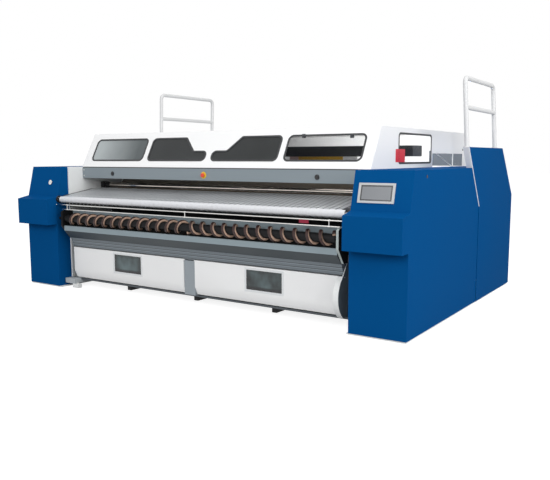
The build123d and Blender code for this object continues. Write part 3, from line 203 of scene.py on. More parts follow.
# ---------------------------------------------------------------- floor plates and floor beams
# White foot plates under the casings and a white pad at the left, square floor beams across the
# machine, welded and powder coated, on black rubber levelling feet. The outrigger is paler.
class Finish(Nodes):
    """One finish of the machine: its nodes end in a single Principled shader."""

    def __init__(self, name, constants=None):
        self.material = bpy.data.materials.new(name)
        self.material.use_nodes = True
        super().__init__(self.material.node_tree)
        self.shader = self.node("ShaderNodeBsdfPrincipled", {}, constants)
        self.node("ShaderNodeOutputMaterial", {}, {"Surface": self.shader})
        self.place = self.node("ShaderNodeTexCoord", out="Object")

    def set(self, name, value):
        self.feed(self.shader.socket.node.inputs[name], value)

    def axis(self, name):
        return self.node("ShaderNodeSeparateXYZ", {}, {0: self.place}, out=name)

    def noise(self, scale, detail=2.0, stretch=(1, 1, 1)):
        spot = self.node("ShaderNodeMapping", {}, {"Vector": self.place, "Scale": stretch})
        return self.node("ShaderNodeTexNoise", {}, {"Vector": spot, "Scale": scale, "Detail": detail})

    def within(self, value, low, high):
        return (value > low) * (value < high)

    def ramp(self, value, low, high):
        return self.node("ShaderNodeMapRange", {}, {0: value, 1: low, 2: high})

    def toned(self, colour, amount):
        return self.node("ShaderNodeVectorMath", {"operation": "SCALE"}, {0: colour[:3], "Scale": amount})

    def mixed(self, mask, first, second):
        return self.node("ShaderNodeMix", {"data_type": "RGBA"}, {0: mask, 6: first, 7: second}, out=2)

    def relief(self, height, depth):
        self.set("Normal", self.node("ShaderNodeBump", {}, {"Height": height, "Distance": depth}))


def painted(name, colour, roughness=0.42, shine=0.3, drift=0.06, peel=0.00012):
    """Powder coat on sheet steel: fine orange peel, with a slight drift in tone and gloss."""
    finish = Finish(name, {"Specular IOR Level": shine})
    cloud = finish.noise(1.3, 3) - 0.5
    finish.set("Base Color", finish.toned(colour, 1 + drift * cloud))
    finish.set("Roughness", roughness + 0.12 * cloud)
    finish.relief(finish.noise(240, 2), peel)
    return finish


def moulded(name, colour, roughness=0.55, shine=0.4, grain=0.0002):
    """Rubber or plastic out of a mould: a fine matt grain, a little uneven in gloss."""
    finish = Finish(name, {"Specular IOR Level": shine})
    cloud = finish.noise(9, 2) - 0.5
    finish.set("Base Color", finish.toned(colour, 1 + 0.15 * cloud))
    finish.set("Roughness", roughness + 0.15 * cloud)
    finish.relief(finish.noise(600, 1), grain)
    return finish


def steel(name, colour, roughness, lines=(1, 60, 60), line_scale=14, depth=0.00004, drift=0.12):
    """Bare metal with the marks of its grinding or rolling drawn out along one direction."""
    finish = Finish(name, {"Metallic": 1.0})
    marks = finish.noise(line_scale, 3, lines) - 0.5
    cloud = finish.noise(2.2, 2) - 0.5
    finish.set("Base Color", finish.toned(colour, 1 + drift * marks + 0.08 * cloud))
    finish.set("Roughness", roughness + 0.14 * marks + 0.05 * cloud)
    finish.relief(marks, depth)
    return finish


slot_of = {part["node"]: part["material_slot"] for part in frame["record"]["subparts"]}
flat_step = 1e-5


class Shape:
    """The mesh of one piece while it is made, in metres. New faces take the finish `coat`."""

    def __init__(self):
        self.mesh = bmesh.new()
        self.coat = 0

    def part(self, node, choose=None):
        """Takes over a part's solid, with its doubled points joined and its flat faces whole."""
        own = bmesh.new()
        own.from_mesh(cad_nodes[node].data)
        bmesh.ops.remove_doubles(own, verts=own.verts, dist=flat_step)
        bmesh.ops.dissolve_limit(own, angle_limit=radians(0.5), verts=own.verts, edges=own.edges)
        for face in own.faces:
            face.material_index = choose(face.calc_center_median()) if choose else self.coat
        holder = bpy.data.meshes.new("holder")
        own.to_mesh(holder)
        own.free()
        self.mesh.from_mesh(holder)
        bpy.data.meshes.remove(holder)

    def face(self, points):
        made = self.mesh.faces.new(points)
        made.material_index = self.coat
        return made

    def prism(self, outline, start, end, along="X"):
        """A flat outline of (a, b) pairs, drawn out along an axis."""
        order = {"X": (2, 0, 1), "Y": (0, 2, 1), "Z": (0, 1, 2)}[along]
        rings = []
        for level in (start, end):
            spots = [(a, b, level) for a, b in outline]
            rings.append([self.mesh.verts.new([spot[i] for i in order]) for spot in spots])
        self.face(rings[0])
        self.face(rings[1][::-1])
        self.skirt(rings[0], rings[1])

    def skirt(self, low, high):
        count = len(low)
        for i in range(count):
            self.face((low[i], low[(i + 1) % count], high[(i + 1) % count], high[i]))

    def slab(self, low, high):
        x, y, z = zip(low, high)
        self.prism([(y[0], z[0]), (y[1], z[0]), (y[1], z[1]), (y[0], z[1])], x[0], x[1])

    def turned(self, profile, foot, axis=(0, 0, 1), sides=32):
        """A round form: profile is (radius, distance along the axis) from one end to the other."""
        lay = Vector(axis).to_track_quat("Z", "Y").to_matrix()
        rings = []
        for radius, reach in profile:
            count = sides if radius > 0 else 1
            steps = [2 * pi * i / count for i in range(count)]
            spots = [Vector((radius * cos(a), radius * sin(a), reach)) for a in steps]
            rings.append([self.mesh.verts.new(Vector(foot) + lay @ spot) for spot in spots])
        for low, high in zip(rings, rings[1:]):
            if len(low) == 1 or len(high) == 1:
                tip, ring = (low[0], high) if len(low) == 1 else (high[0], low)
                for i in range(len(ring)):
                    self.face((tip, ring[i], ring[(i + 1) % len(ring)]))
            else:
                self.skirt(low, high)
        for ring in (rings[0], rings[-1]):
            if len(ring) > 2:
                self.face(ring)

    def hex_bolts(self, spots, axis, across=0.017, thick=0.007, washer=True):
        """Hexagon heads, each on its washer."""
        washer_thick = 0.0018
        for spot in spots:
            seat = 0.0
            if washer:
                seat = washer_thick
                self.turned([(across * 0.72, 0), (across * 0.72, seat)], spot, axis, 20)
            radius = across / 2 / cos(pi / 6)
            crown = [(radius, seat), (radius, thick * 0.85 + seat), (radius * 0.84, thick + seat)]
            self.turned(crown, spot, axis, 6)

    def made(self, name, finishes, slot, body="root", edge=0.0, sharp=35, smooth=30):
        """Breaks the sharp edges, makes the object, gives it its finishes and seats it on its body."""
        mesh = self.mesh
        bmesh.ops.recalc_face_normals(mesh, faces=mesh.faces)
        if edge:
            corners = [e for e in mesh.edges if len(e.link_faces) == 2]
            corners = [e for e in corners if e.calc_face_angle() > radians(sharp)]
            bmesh.ops.bevel(mesh, geom=corners, offset=edge, segments=2, profile=0.5,
                            affect="EDGES", clamp_overlap=True, material=-1)
        for face in mesh.faces:
            face.smooth = True
        data = bpy.data.meshes.new(name)
        mesh.to_mesh(data)
        mesh.free()
        data.set_sharp_from_angle(angle=radians(smooth))
        for finish in finishes if isinstance(finishes, (list, tuple)) else [finishes]:
            data.materials.append(finish.material)
        piece = bpy.data.objects.new(name, data)
        bpy.context.scene.collection.objects.link(piece)
        even = piece.modifiers.new("even_shading", "WEIGHTED_NORMAL")
        even.keep_sharp = True
        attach(piece, body)
        return piece


def dressed(node, finishes, edge=0.001, choose=None, smooth=30):
    """A part as it leaves the shop: its own solid with broken edges, in its finish."""
    shape = Shape()
    shape.part(node, choose)
    body = cad_nodes[node]["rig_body"]
    piece = shape.made(node + "_finished", finishes, slot_of[node], body, edge, smooth=smooth)
    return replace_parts(piece, node)


frame_paint = painted("frame_white", (0.76, 0.775, 0.775, 1), 0.45)
base_paint_and_shade = painted("base_grey", (0.085, 0.095, 0.105, 1), 0.5, 0.25)
black_rubber = moulded("black_rubber", (0.018, 0.018, 0.02, 1), 0.6, 0.3)
spindle_steel = steel("spindle_steel", (0.62, 0.62, 0.60, 1), 0.32)
plinth_inset = 0.006
casing_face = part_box("plinths")[0].y - plinth_inset


def back(depth):
    """Y of a point that lies a given depth behind the front face of the end casings."""
    return casing_face + depth


dressed("plinths", frame_paint, 0.0015)
pale_paint = painted("outrigger_pale", (0.42, 0.45, 0.47, 1), 0.5)
outrigger_x, outrigger_depth = -1.83, 0.3
# The floor beams' dark grey also stands in for the shade inside the machine's base, as painted shade.
dressed("base_frame", [base_paint_and_shade, pale_paint], 0.0015,
        lambda spot: int(spot.x < outrigger_x and spot.y < back(outrigger_depth)))
dressed("levelling_feet", black_rubber, 0.002)
pad_x, pad_depth, pad_top = -1.806, 0.105, 0.05
stands = Shape()
stands.hex_bolts([(pad_x, back(pad_depth), pad_top)], (0, 0, 1), 0.022, 0.010)
stands.made("pad_screw", spindle_steel, "bright_steel", edge=0.0004)


# ---------------------------------------------------------------- side frames
# One thick white plate a side, flame-cut and powder coated; it carries the roll bearings
# outside, the chests' saddles between them and the hood on its upper edge.
dressed("side_frames", frame_paint, 0.0015)
frame_low, frame_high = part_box("side_frames")
inner_wall = frame_high.x                    # inner face of each end casing
frame_plate = 0.02
frame_inside = inner_wall - frame_plate
screws = Shape()
for side in (-1, 1):
    for height in (0.2, 0.55, 0.78, 1.22, 1.44):
        spot = (side * (inner_wall - frame_plate / 2), frame_low.y, height)
        screws.hex_bolts([spot], (0, -1, 0), 0.009, 0.004, False)
screws.made("frame_edge_screws", spindle_steel, "bright_steel", edge=0.0003)


# ---------------------------------------------------------------- end casings
# Blue powder-coated sheet casings, each a front cover with its projecting nose, a side cover and
# a rear cover with the upright screen; a white strip covers the seam. Quarter-turn locks.
casing_paint = painted("casing_blue", (0.0018, 0.069, 0.228, 1), 0.55, 0.004, 0.07)
hood_paint = painted("hood_white", (0.86, 0.866, 0.868, 1), 0.4, 0.25, 0.02)
black_plastic = moulded("black_plastic", (0.014, 0.014, 0.016, 1), 0.4, 0.45)
for cover in ("front_covers", "side_covers", "rear_covers"):
    dressed(cover, casing_paint)
dressed("tower_posts", hood_paint)
cover_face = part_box("side_covers")[1].x
lock_radius, lock_proud = 0.015, 0.0035
lock_y, lock_z = back(0.391), 1.442
bar_half, bar_thin = 0.007, 0.0015
locks = Shape()
for side in (-1, 1):
    rim = [(lock_radius, 0), (lock_radius, lock_proud * 0.6), (lock_radius * 0.85, lock_proud),
           (lock_radius * 0.6, lock_proud), (lock_radius * 0.55, lock_proud * 0.45), (0, lock_proud * 0.45)]
    locks.turned(rim, (side * cover_face, lock_y, lock_z), (side, 0, 0), 40)
    reach = sorted((side * cover_face, side * (cover_face + lock_proud * 0.8)))
    locks.slab((reach[0], lock_y - bar_half, lock_z - bar_thin),
               (reach[1], lock_y + bar_half, lock_z + bar_thin))
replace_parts(locks.made("cover_locks_finished", black_plastic, "black_plastic"), "cover_locks")
rear_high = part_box("rear_covers")[1]
screw_inset, screw_head = 0.045, 0.003
slope_foot, slope_back = 1.1, 0.16
pan_head = [(0.006, 0), (0.006, 0.0012), (0.004, 0.0026), (0, screw_head)]
cover_screws = Shape()
for side in (-1, 1):
    for height in (0.12, 0.52, 0.93, 1.33):
        sunk = screw_head if height < slope_foot else slope_back
        for x in (inner_wall + screw_inset, rear_high.x - screw_inset):
            cover_screws.turned(pan_head, (side * x, rear_high.y - sunk, height), (0, 1, 0), 16)
    spot = (side * (inner_wall + 0.1), rear_high.y - screw_head, 1.02)
    cover_screws.turned(pan_head, spot, (0, 1, 0), 16)
cover_screws.made("rear_cover_screws", black_plastic, "black_plastic")


# ---------------------------------------------------------------- hood
# White folded sheet over the rolls. Panes, smoke-tinted but for the clear right end, sit in black
# rubber gaskets; inside hang a dark box beam, with a yellow strip below it, and the stays.
smoke = Finish("tinted_pane", {"Specular IOR Level": 0.4})
along = smoke.axis("X")
clouds = smoke.noise(3) - 0.5
outer_panes = 0.97
far_left = along < -outer_panes
clear_right = along > outer_panes
# Painted reflection: the leftmost panes (far_left) take a pale tone at the far left that fades to dark
# along X, standing in for the white surround reflected in them.
reflection_pale, reflection_dark = (0.40, 0.44, 0.45, 1), (0.085, 0.10, 0.105, 1)
painted_reflection = smoke.mixed(smoke.ramp(along + 0.2 * clouds, -1.85, -1.15), reflection_pale, reflection_dark)
smoke.set("Base Color", smoke.mixed(far_left, smoke.toned((0.02, 0.023, 0.024, 1), 1 + clouds), painted_reflection))
smoke.set("Alpha", 0.92 + 0.04 * far_left - 0.86 * clear_right)
smoke.set("Roughness", 0.05 + 0.05 * smoke.noise(5, 2))
zinc = steel("galvanised", (0.55, 0.57, 0.58, 1), 0.42, (1, 1, 1), 26, 0.00003, 0.25)
beam_paint = painted("beam_dark", (0.045, 0.05, 0.058, 1), 0.45)
yellow_paint = painted("strip_yellow", (0.70, 0.40, 0.035, 1), 0.4)
pink_paint = painted("strip_pale", (0.62, 0.42, 0.40, 1), 0.4)
red_plastic = moulded("red_plastic", (0.62, 0.018, 0.035, 1), 0.35, 0.45)
hood_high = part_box("canopy_shell")[1]
skin = 0.0025
# Painted shade: inside the hood's right end, behind shade_y and below shade_top, the white paint turns dark
# blue-grey.
shade_x, shade_y, shade_top = 1.5, 1.2, 1.7
painted_shade_inside = hood_paint.within(hood_paint.axis("X"), shade_x, hood_high.x - skin)
painted_shade_inside = painted_shade_inside * hood_paint.within(hood_paint.axis("Y"), shade_y, hood_high.y - skin)
painted_shade_inside = painted_shade_inside * (hood_paint.axis("Z") < shade_top)
hood_paint.set("Base Color", hood_paint.mixed(painted_shade_inside, (0.84, 0.845, 0.85, 1), (0.10, 0.12, 0.15, 1)))
dressed("canopy_shell", hood_paint, 0.0012)
dressed("window_panes", smoke, 0.0008)
gasket_rubber = moulded("gasket_rubber", (0.042, 0.043, 0.046, 1), 0.5, 0.3)
dressed("rubber_seals", gasket_rubber, 0.001)
beam_rear, beam_top = 0.17, 1.745
dressed("hood_beam_and_stays", [zinc, beam_paint], 0.001,
        lambda spot: int(spot.y < beam_rear and spot.z < beam_top))
beam_front, beam_foot = back(1.5), 1.622
strips = Shape()
for coat, (start, end) in enumerate(((0.44, 0.56), (0.563, 1.163), (1.17, 1.34))):
    strips.coat = coat
    strips.slab((start, beam_front, beam_foot - 0.04), (end, beam_front + 0.006, beam_foot))
strips.made("hood_beam_strips", [pink_paint, yellow_paint, hood_paint], "yellow_plastic", edge=0.0008)
hangers = Shape()
for x in (-1.5, 0, 1.5):
    hangers.hex_bolts([(x + shift, back(1.61), hood_high.z - 0.03) for shift in (-0.015, 0.015)],
                      (0, -1, 0), 0.013, 0.006)
hangers.made("hood_strap_bolts", spindle_steel, "galvanised", edge=0.0003)
tabs = Shape()
for x, height in ((1.179, 1.822), (1.731, 1.813)):
    tabs.slab((x - 0.018, back(0.605), height - 0.012), (x + 0.018, back(0.625), height + 0.03))
tabs.made("window_tabs", beam_paint, "black_rubber", edge=0.0015)
plate = Shape()
plate.slab((inner_wall, back(0.996), 1.562), (inner_wall + 0.003, back(1.232), 1.695))
plate.made("hood_side_plate", red_plastic, "red_plastic", edge=0.001)
wall_screw = Shape()
wall_screw.turned([(0.011, 0), (0.011, 0.002), (0.007, 0.005), (0, 0.006)],
                  (inner_wall, back(3.107), 1.706), (1, 0, 0), 24)
wall_screw.made("hood_wall_screw", black_plastic, "black_plastic")
roof = Shape()
joint_rows, joint_half = (back(1.45), back(2.35)), 0.022
roof_foot, roof_end = hood_high.z - 0.001, inner_wall - 0.004
for y in joint_rows:
    roof.slab((-roof_end, y - joint_half, roof_foot), (roof_end, y + joint_half, hood_high.z + 0.002))
for x in (-1.01, 1.01):
    roof.slab((x - joint_half, back(0.68), roof_foot),
              (x + joint_half, hood_high.y - 0.01, hood_high.z + 0.0016))
roof.made("roof_joint_strips", hood_paint, "hood_white", edge=0.0006)
roof_screws = Shape()
dome = [(0.0055, 0), (0.0055, 0.001), (0.0035, 0.0024), (0, 0.0028)]
for y in joint_rows:
    for i in range(21):
        roof_screws.turned(dome, (-1.95 + i * 0.195, y, hood_high.z + 0.002), (0, 0, 1), 12)
for i in range(3):
    for x in (-1.86, -0.62, 0.62, 1.86):
        roof_screws.turned(dome, (x, hood_high.y - screw_head, 1.53 + i * 0.165), (0, 1, 0), 12)
roof_screws.made("roof_screws", zinc, "galvanised")


# ---------------------------------------------------------------- front beam and its buttons
# Grey channel across the front under the hood, with two black push buttons in their collars and
# a red mushroom button on a round yellow plate.
grey_paint = painted("beam_grey", (0.222, 0.262, 0.288, 1), 0.38, 0.3, 0.05)
yellow_plastic = moulded("yellow_plastic", (0.80, 0.50, 0.03, 1), 0.4, 0.5)
dressed("front_beam", grey_paint, 0.0012)
dressed("button_collars", black_plastic)
dressed("push_button_left", black_plastic)
dressed("push_button_right", black_plastic)
dressed("stop_plate", yellow_plastic)
stop_red = moulded("stop_red", (0.72, 0.06, 0.03, 1), 0.35, 0.45)
dressed("stop_button", stop_red, 0.002)
beam_low, beam_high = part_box("front_beam")
beam_screws = Shape()
for side in (-1, 1):
    for height in (beam_low.z + 0.03, beam_high.z - 0.03):
        spot = (side * (frame_inside - 0.03), beam_low.y, height)
        beam_screws.hex_bolts([spot], (0, -1, 0), 0.012, 0.005)
beam_screws.made("front_beam_bolts", spindle_steel, "bright_steel", edge=0.0003)


# ---------------------------------------------------------------- ironing rolls and chests
# Steel rolls with hollow journals in their bearing blocks, wrapped in needled felt; each turns
# in a double-walled steel chest, with a bridge plate between the two. The bright press roller
# lies on the front roll.
roll_metal = steel("roll_steel", (0.42, 0.42, 0.41, 1), 0.4)
chest_metal = steel("chest_steel", (0.60, 0.61, 0.61, 1), 0.3)
chest_paint = painted("chest_lacquer", (0.03, 0.031, 0.034, 1), 0.6, 0.15)
cast_paint = painted("cast_black", (0.016, 0.016, 0.018, 1), 0.5, 0.25)
felt = Finish("felt", {"Specular IOR Level": 0.1, "Sheen Weight": 0.3})
fibres = felt.noise(420, 4)
wound = felt.noise(5, 2, (0.4, 3, 3))
# The felt is toned darker than its own colour, as painted shade under the front beam.
felt.set("Base Color", felt.toned((0.24, 0.205, 0.165, 1), 0.8 + 0.25 * fibres + 0.15 * wound))
felt.set("Roughness", 0.85 + 0.1 * fibres)
felt.relief(fibres + 0.5 * wound, 0.0012)
roll_axis = {"roll_front": back(1.1), "roll_rear": back(2.2)}
roll_height = 1.008
chest_inside = 0.4045
journal_circle, shell_circle = 0.085, 0.378
for roll, axis_y in roll_axis.items():
    dressed(roll, roll_metal)
    padding = dressed(roll + "_padding", felt, 0.003)
    low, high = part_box(roll + "_padding")
    rings = Shape()
    for side in (-1, 1):
        end = side * (high.x + 0.02)
        for i in range(8):
            turn = pi / 8 + i * pi / 4
            spot = (end, axis_y + journal_circle * cos(turn), roll_height + journal_circle * sin(turn))
            rings.hex_bolts([spot], (side, 0, 0), 0.018, 0.009)
        for i in range(24):
            turn = i * pi / 12
            y, z = axis_y + shell_circle * cos(turn), roll_height + shell_circle * sin(turn)
            spot = (side * high.x, y, z)
            rings.hex_bolts([spot], (side, 0, 0), 0.010, 0.004, False)
    rings.made(roll + "_bolts", spindle_steel, "bright_steel", roll, edge=0.0004)


def chest_side(spot):
    """0 for the polished hollow that the roll turns in, 1 for the lacquered outside."""
    near = min(roll_axis.values(), key=lambda y: abs(spot.y - y))
    return int(hypot(spot.y - near, spot.z - roll_height) > chest_inside)


dressed("chests", [chest_metal, chest_paint], 0.001, chest_side)
dressed("bridge_plate", chest_metal)
dressed("bearing_blocks", cast_paint, 0.003)
feed_y, feed_z = back(0.04), 1.105
block_bolts = Shape()
roll_block, press_block, feed_circle = 0.092, 0.028, 0.032
for side in (-1, 1):
    for axis_y in roll_axis.values():
        for across in (-roll_block, roll_block):
            for up in (-roll_block, roll_block):
                spot = (side * (inner_wall + 0.06), axis_y + across, roll_height + up)
                block_bolts.hex_bolts([spot], (side, 0, 0), 0.024, 0.012)
        block_bolts.turned([(0.005, 0), (0.005, 0.004), (0.003, 0.006), (0.003, 0.012), (0, 0.014)],
                           (side * (inner_wall + 0.03), axis_y, roll_height + 0.12), (0, 0, 1), 12)
press_low, press_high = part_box("press_roller")
press_y, press_z = (press_low.y + press_high.y) / 2, (press_low.z + press_high.z) / 2
for side in (-1, 1):
    for across in (-press_block, press_block):
        for up in (-press_block, press_block):
            spot = (side * (inner_wall - 0.09), press_y + across, press_z + up)
            block_bolts.hex_bolts([spot], (-side, 0, 0), 0.009, 0.004, False)
    for turn in (0.3, 1.35, 2.4, 3.45, 4.5, 5.55):
        y, z = feed_y + feed_circle * cos(turn), feed_z + feed_circle * sin(turn)
        spot = (side * (inner_wall - 0.026), y, z)
        block_bolts.hex_bolts([spot], (-side, 0, 0), 0.007, 0.003, False)
block_bolts.made("bearing_bolts", spindle_steel, "bright_steel", edge=0.0004)
bright = steel("bright_steel", (0.66, 0.655, 0.64, 1), 0.2)
# The press roller's beige tone and its strong bands along X are painted reflections of the surround on its
# polished steel.
press_reflection_streaks = steel("press_steel", (0.60, 0.55, 0.50, 1), 0.14, (2.5, 40, 40), 3, 0.00002, 0.9)
dressed("press_roller", press_reflection_streaks)
cones = Shape()
for side in (-1, 1):
    cones.turned([(0.0155, -0.03), (0.0352, -0.03), (0.0356, 0.05), (0.030, 0.055), (0.0155, 0.062)],
                 (side * (inner_wall - 0.098) - side * 0.05, press_y, press_z), (side, 0, 0), 40)
cones.made("press_roller_sleeves", black_plastic, "black_plastic", "press_roller")


# ---------------------------------------------------------------- feed table
# Endless feed belts run side by side over a flat bed and round two rollers; the front one is
# sleeved. Below it a thin plate with short black fingers keeps linen from winding in.
belt_cloth = Finish("belt_fabric", {"Specular IOR Level": 0.6})
threads = belt_cloth.noise(700, 1, (1, 0.25, 1))
wear = belt_cloth.noise(2.5, 2, (1, 0.4, 1))
# Painted light: where the belts bend round the front roller they take the pale polished tone, a painted
# reflection of the bright surround, and on the flat top the darker tone, painted shade; the wear noise is
# real mottle.
polished = belt_cloth.toned((0.66, 0.67, 0.70, 1), 0.92 + 0.12 * threads)
shaded_top = belt_cloth.toned((0.355, 0.37, 0.385, 1), 0.8 + 0.2 * threads + 0.3 * wear)
bend_to_top = belt_cloth.ramp(belt_cloth.axis("Y"), back(0.036), back(0.062))
belt_cloth.set("Base Color", belt_cloth.mixed(bend_to_top, polished, shaded_top))
belt_cloth.set("Roughness", 0.26 + 0.12 * threads)
belt_cloth.relief(threads, 0.00015)
sleeve = painted("roller_sleeve", (0.66, 0.67, 0.69, 1), 0.3, 0.5)
dressed("feed_belts", belt_cloth, 0)
dressed("feed_roller_front", [bright, sleeve], 0.001,
        lambda spot: int(hypot(spot.y - feed_y, spot.z - feed_z) > 0.02))
dressed("feed_roller_rear", bright)
bed_paint = painted("bed_grey", (0.075, 0.08, 0.085, 1), 0.4, 0.3)
dressed("feed_table_bed", bed_paint)
belt_pitch, belt_width, belt_count = 0.068, 0.056, 57
first_belt = -(belt_count - 1) * belt_pitch / 2
comb = Shape()
comb_top, comb_half, finger_half = 1.0615, inner_wall - 0.03, 0.010
comb.slab((-comb_half, back(0.046), comb_top - 0.002), (comb_half, back(0.14), comb_top))
# Black, the fingers between the belts also stand in for the shade in the gaps under the roller.
comb.coat = 1
for i in range(belt_count - 1):
    x = first_belt + (i + 0.5) * belt_pitch
    comb.slab((x - finger_half, back(0.030), comb_top - 0.009),
              (x + finger_half, back(0.047), comb_top + 0.002))
comb.made("stripper_plate", [grey_paint, black_rubber], "beam_grey", edge=0.0005)
laces = Shape()
rear_feed_z, table_run, belt_lift = 1.193, 0.56, 0.0386
table_rise = (rear_feed_z - feed_z) / table_run
lace_rng = Random(7)
for i in range(belt_count):
    x = first_belt + i * belt_pitch
    reach = lace_rng.uniform(0.073, 0.077)
    y, z = feed_y + reach, feed_z + reach * table_rise + belt_lift
    laces.slab((x - belt_width / 2 + 0.002, y - 0.004, z - 0.0012),
               (x + belt_width / 2 - 0.002, y + 0.004, z + 0.0006))
laces.made("belt_laces", painted("lace_white", (0.72, 0.74, 0.75, 1), 0.3, 0.4), "bright_steel")


# ---------------------------------------------------------------- safety bar
# Two bright rods joined by short posts, in front of the table; it hangs from its upper rod. A
# crimson tag sits between the rods near the right end.
dressed("safety_bar", bright, 0.0006)
rod_height, rod_gap, rod_radius = 1.041, 0.055, 0.006
fittings = Shape()
for x in (-1.822, 0.077, 1.822):
    for z in (rod_height, rod_height - rod_gap):
        fittings.turned([(rod_radius + 0.0002, -0.013), (0.0088, -0.011), (0.0088, 0.011),
                         (rod_radius + 0.0002, 0.013)], (x, back(0), z), (1, 0, 0), 24)
for side in (-1, 1):
    fittings.turned([(rod_radius + 0.0002, 0), (0.0095, 0.001), (0.0095, 0.012), (rod_radius, 0.014)],
                    (side * (inner_wall - 0.001), back(0), rod_height), (-side, 0, 0), 24)
fittings.made("safety_bar_fittings", bright, "bright_steel", "safety_bar")
tag = Shape()
tag.slab((1.500, back(-0.002), 1.002), (1.605, back(0.002), rod_height - rod_radius + 0.001))
# Painted shade: the tag takes a darker copy of the crimson plastic.
tag_red_shaded = moulded("tag_red_shaded", (0.22, 0.008, 0.03, 1), 0.4, 0.3)
tag.made("safety_bar_tag", tag_red_shaded, "red_plastic", "safety_bar", 0.0006)


# ---------------------------------------------------------------- spreading roller and trough
# Black tube with a left- and a right-handed flight, copper-brown toned up as a painted highlight,
# with a black crest; end plates carry it and the grey trough, painted black inside as painted shade.
roller_y, roller_z = back(0.05), 0.870
flight_rubber = Finish("flight_black", {"Specular IOR Level": 0.35})
off_y = flight_rubber.axis("Y") - roller_y
off_z = flight_rubber.axis("Z") - roller_z
reach_squared = off_y * off_y + off_z * off_z
# Painted highlight: the flanks, out to copper_end, are toned up to the bright tan of their highlight;
# beyond crest_start the crest is near black.
copper_end, crest_start = 0.0680, 0.0705
crest = flight_rubber.ramp(reach_squared, copper_end ** 2, crest_start ** 2)
mottle = flight_rubber.noise(35, 3)
copper_and_highlight = flight_rubber.toned((0.60, 0.41, 0.31, 1), 0.7 + 0.6 * mottle)
dark = flight_rubber.toned((0.028, 0.009, 0.007, 1), 0.6 + 0.8 * mottle)
flight_rubber.set("Base Color", flight_rubber.mixed(crest, copper_and_highlight, dark))
flight_rubber.set("Roughness", 0.32 + 0.2 * mottle)
flight_rubber.relief(mottle, 0.0004)
core_paint = painted("core_black", (0.009, 0.009, 0.010, 1), 0.5, 0.12)
apron_paint = painted("apron_dark", (0.040, 0.051, 0.059, 1), 0.42, 0.25)
rail_tone = (0.16, 0.185, 0.205, 1)
rail_grey = painted("rail_grey", rail_tone, 0.42, 0.25)
# Painted light: each step of the rail's face is darkened at its foot, as painted shade, and lightened at
# its top edge, as a painted highlight.
rail_foot, rail_step = 0.515, 0.112 / 3
in_step = ((rail_grey.axis("Z") - rail_foot) * (1 / rail_step)).part()
bands = 1 - 0.6 * (in_step < 0.2) + 0.7 * (in_step > 0.82)
rail_grey.set("Base Color", rail_grey.toned(rail_tone, bands))
dressed("spreader_core", core_paint)
dressed("spreader_flights", flight_rubber, 0, smooth=50)
bracket_high, bracket_thick, edge_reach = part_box("spreader_brackets")[1], 0.026, 0.0125
bracket_paint = painted("bracket_pale", (0.42, 0.47, 0.46, 1), 0.45)
bracket_x = bracket_high.x - bracket_thick
bracket_middle = bracket_high.x - bracket_thick / 2
# Painted shade: the left bracket and the flat faces of the right one take the black core paint; only the
# right one's edges keep the pale paint.
dressed("spreader_brackets", [bracket_paint, core_paint], 0.0015,
        lambda spot: int(abs(abs(spot.x) - bracket_middle) > edge_reach or spot.x < 0))
trough_paint_and_shade = Finish("trough_paint_and_shade", {"Specular IOR Level": 0.25, "Roughness": 0.5})
lip_foot, lip_depth = 0.83, 0.0335
# Painted shade: below the lip the trough's inside is painted near black; the grime noise is real and runs
# over both.
shaded_inside = (trough_paint_and_shade.axis("Z") < lip_foot) * (trough_paint_and_shade.axis("Y") > back(lip_depth))
grime = trough_paint_and_shade.noise(14, 3)
lip_tone = trough_paint_and_shade.toned((0.245, 0.30, 0.33, 1), 0.97 + 0.06 * grime)
painted_shade_tone = trough_paint_and_shade.toned((0.010, 0.011, 0.012, 1), 0.8 + 0.4 * grime)
trough_paint_and_shade.set("Base Color", trough_paint_and_shade.mixed(shaded_inside, lip_tone, painted_shade_tone))
trough_paint_and_shade.relief(trough_paint_and_shade.noise(240, 2), 0.00012)
dressed("catch_trough", trough_paint_and_shade)
dressed("apron", apron_paint)
dressed("door_rail", rail_grey)
flanges = Shape()
flange_circle = 0.028
for side in (-1, 1):
    flanges.turned([(0.0152, 0), (0.034, 0), (0.034, 0.006), (0.026, 0.012), (0.0152, 0.014)],
                   (side * bracket_x, roller_y, roller_z), (-side, 0, 0), 36)
    for i in range(4):
        turn = pi / 4 + i * pi / 2
        y, z = roller_y + flange_circle * cos(turn), roller_z + flange_circle * sin(turn)
        flanges.hex_bolts([(side * (bracket_x - 0.006), y, z)], (-side, 0, 0), 0.006, 0.003, False)
flanges.made("spreader_bearings", cast_paint, "cast_black", edge=0.0003)


# ---------------------------------------------------------------- lower doors
# Two white folded doors with a small dark window each in a raised frame, the grey post between
# them, and the cheeks at both ends; the right one has its white edge folded in.
door_paint = painted("door_white", (0.86, 0.866, 0.872, 1), 0.4, 0.25, 0.03)
door_glass = Finish("door_glass", {"Specular IOR Level": 0.5, "Roughness": 0.12})
haze_and_glint = door_glass.noise(7, 2, (1, 1, 0.7))
window_low, window_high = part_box("door_left_window")
other_low, other_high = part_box("door_right_window")
half_wide, half_tall = (window_high.x - window_low.x) / 2, (window_high.z - window_low.z) / 2
window_x = door_glass.axis("X").size() - (other_low.x + other_high.x) / 2
window_shift = (window_low.x + window_high.x + other_low.x + other_high.x) / 2
to_side = (window_x + window_shift * (door_glass.axis("X") < 0)).size() * (1 / half_wide)
to_sill = (door_glass.axis("Z") - (window_low.z + window_high.z) / 2).size() * (1 / half_tall)
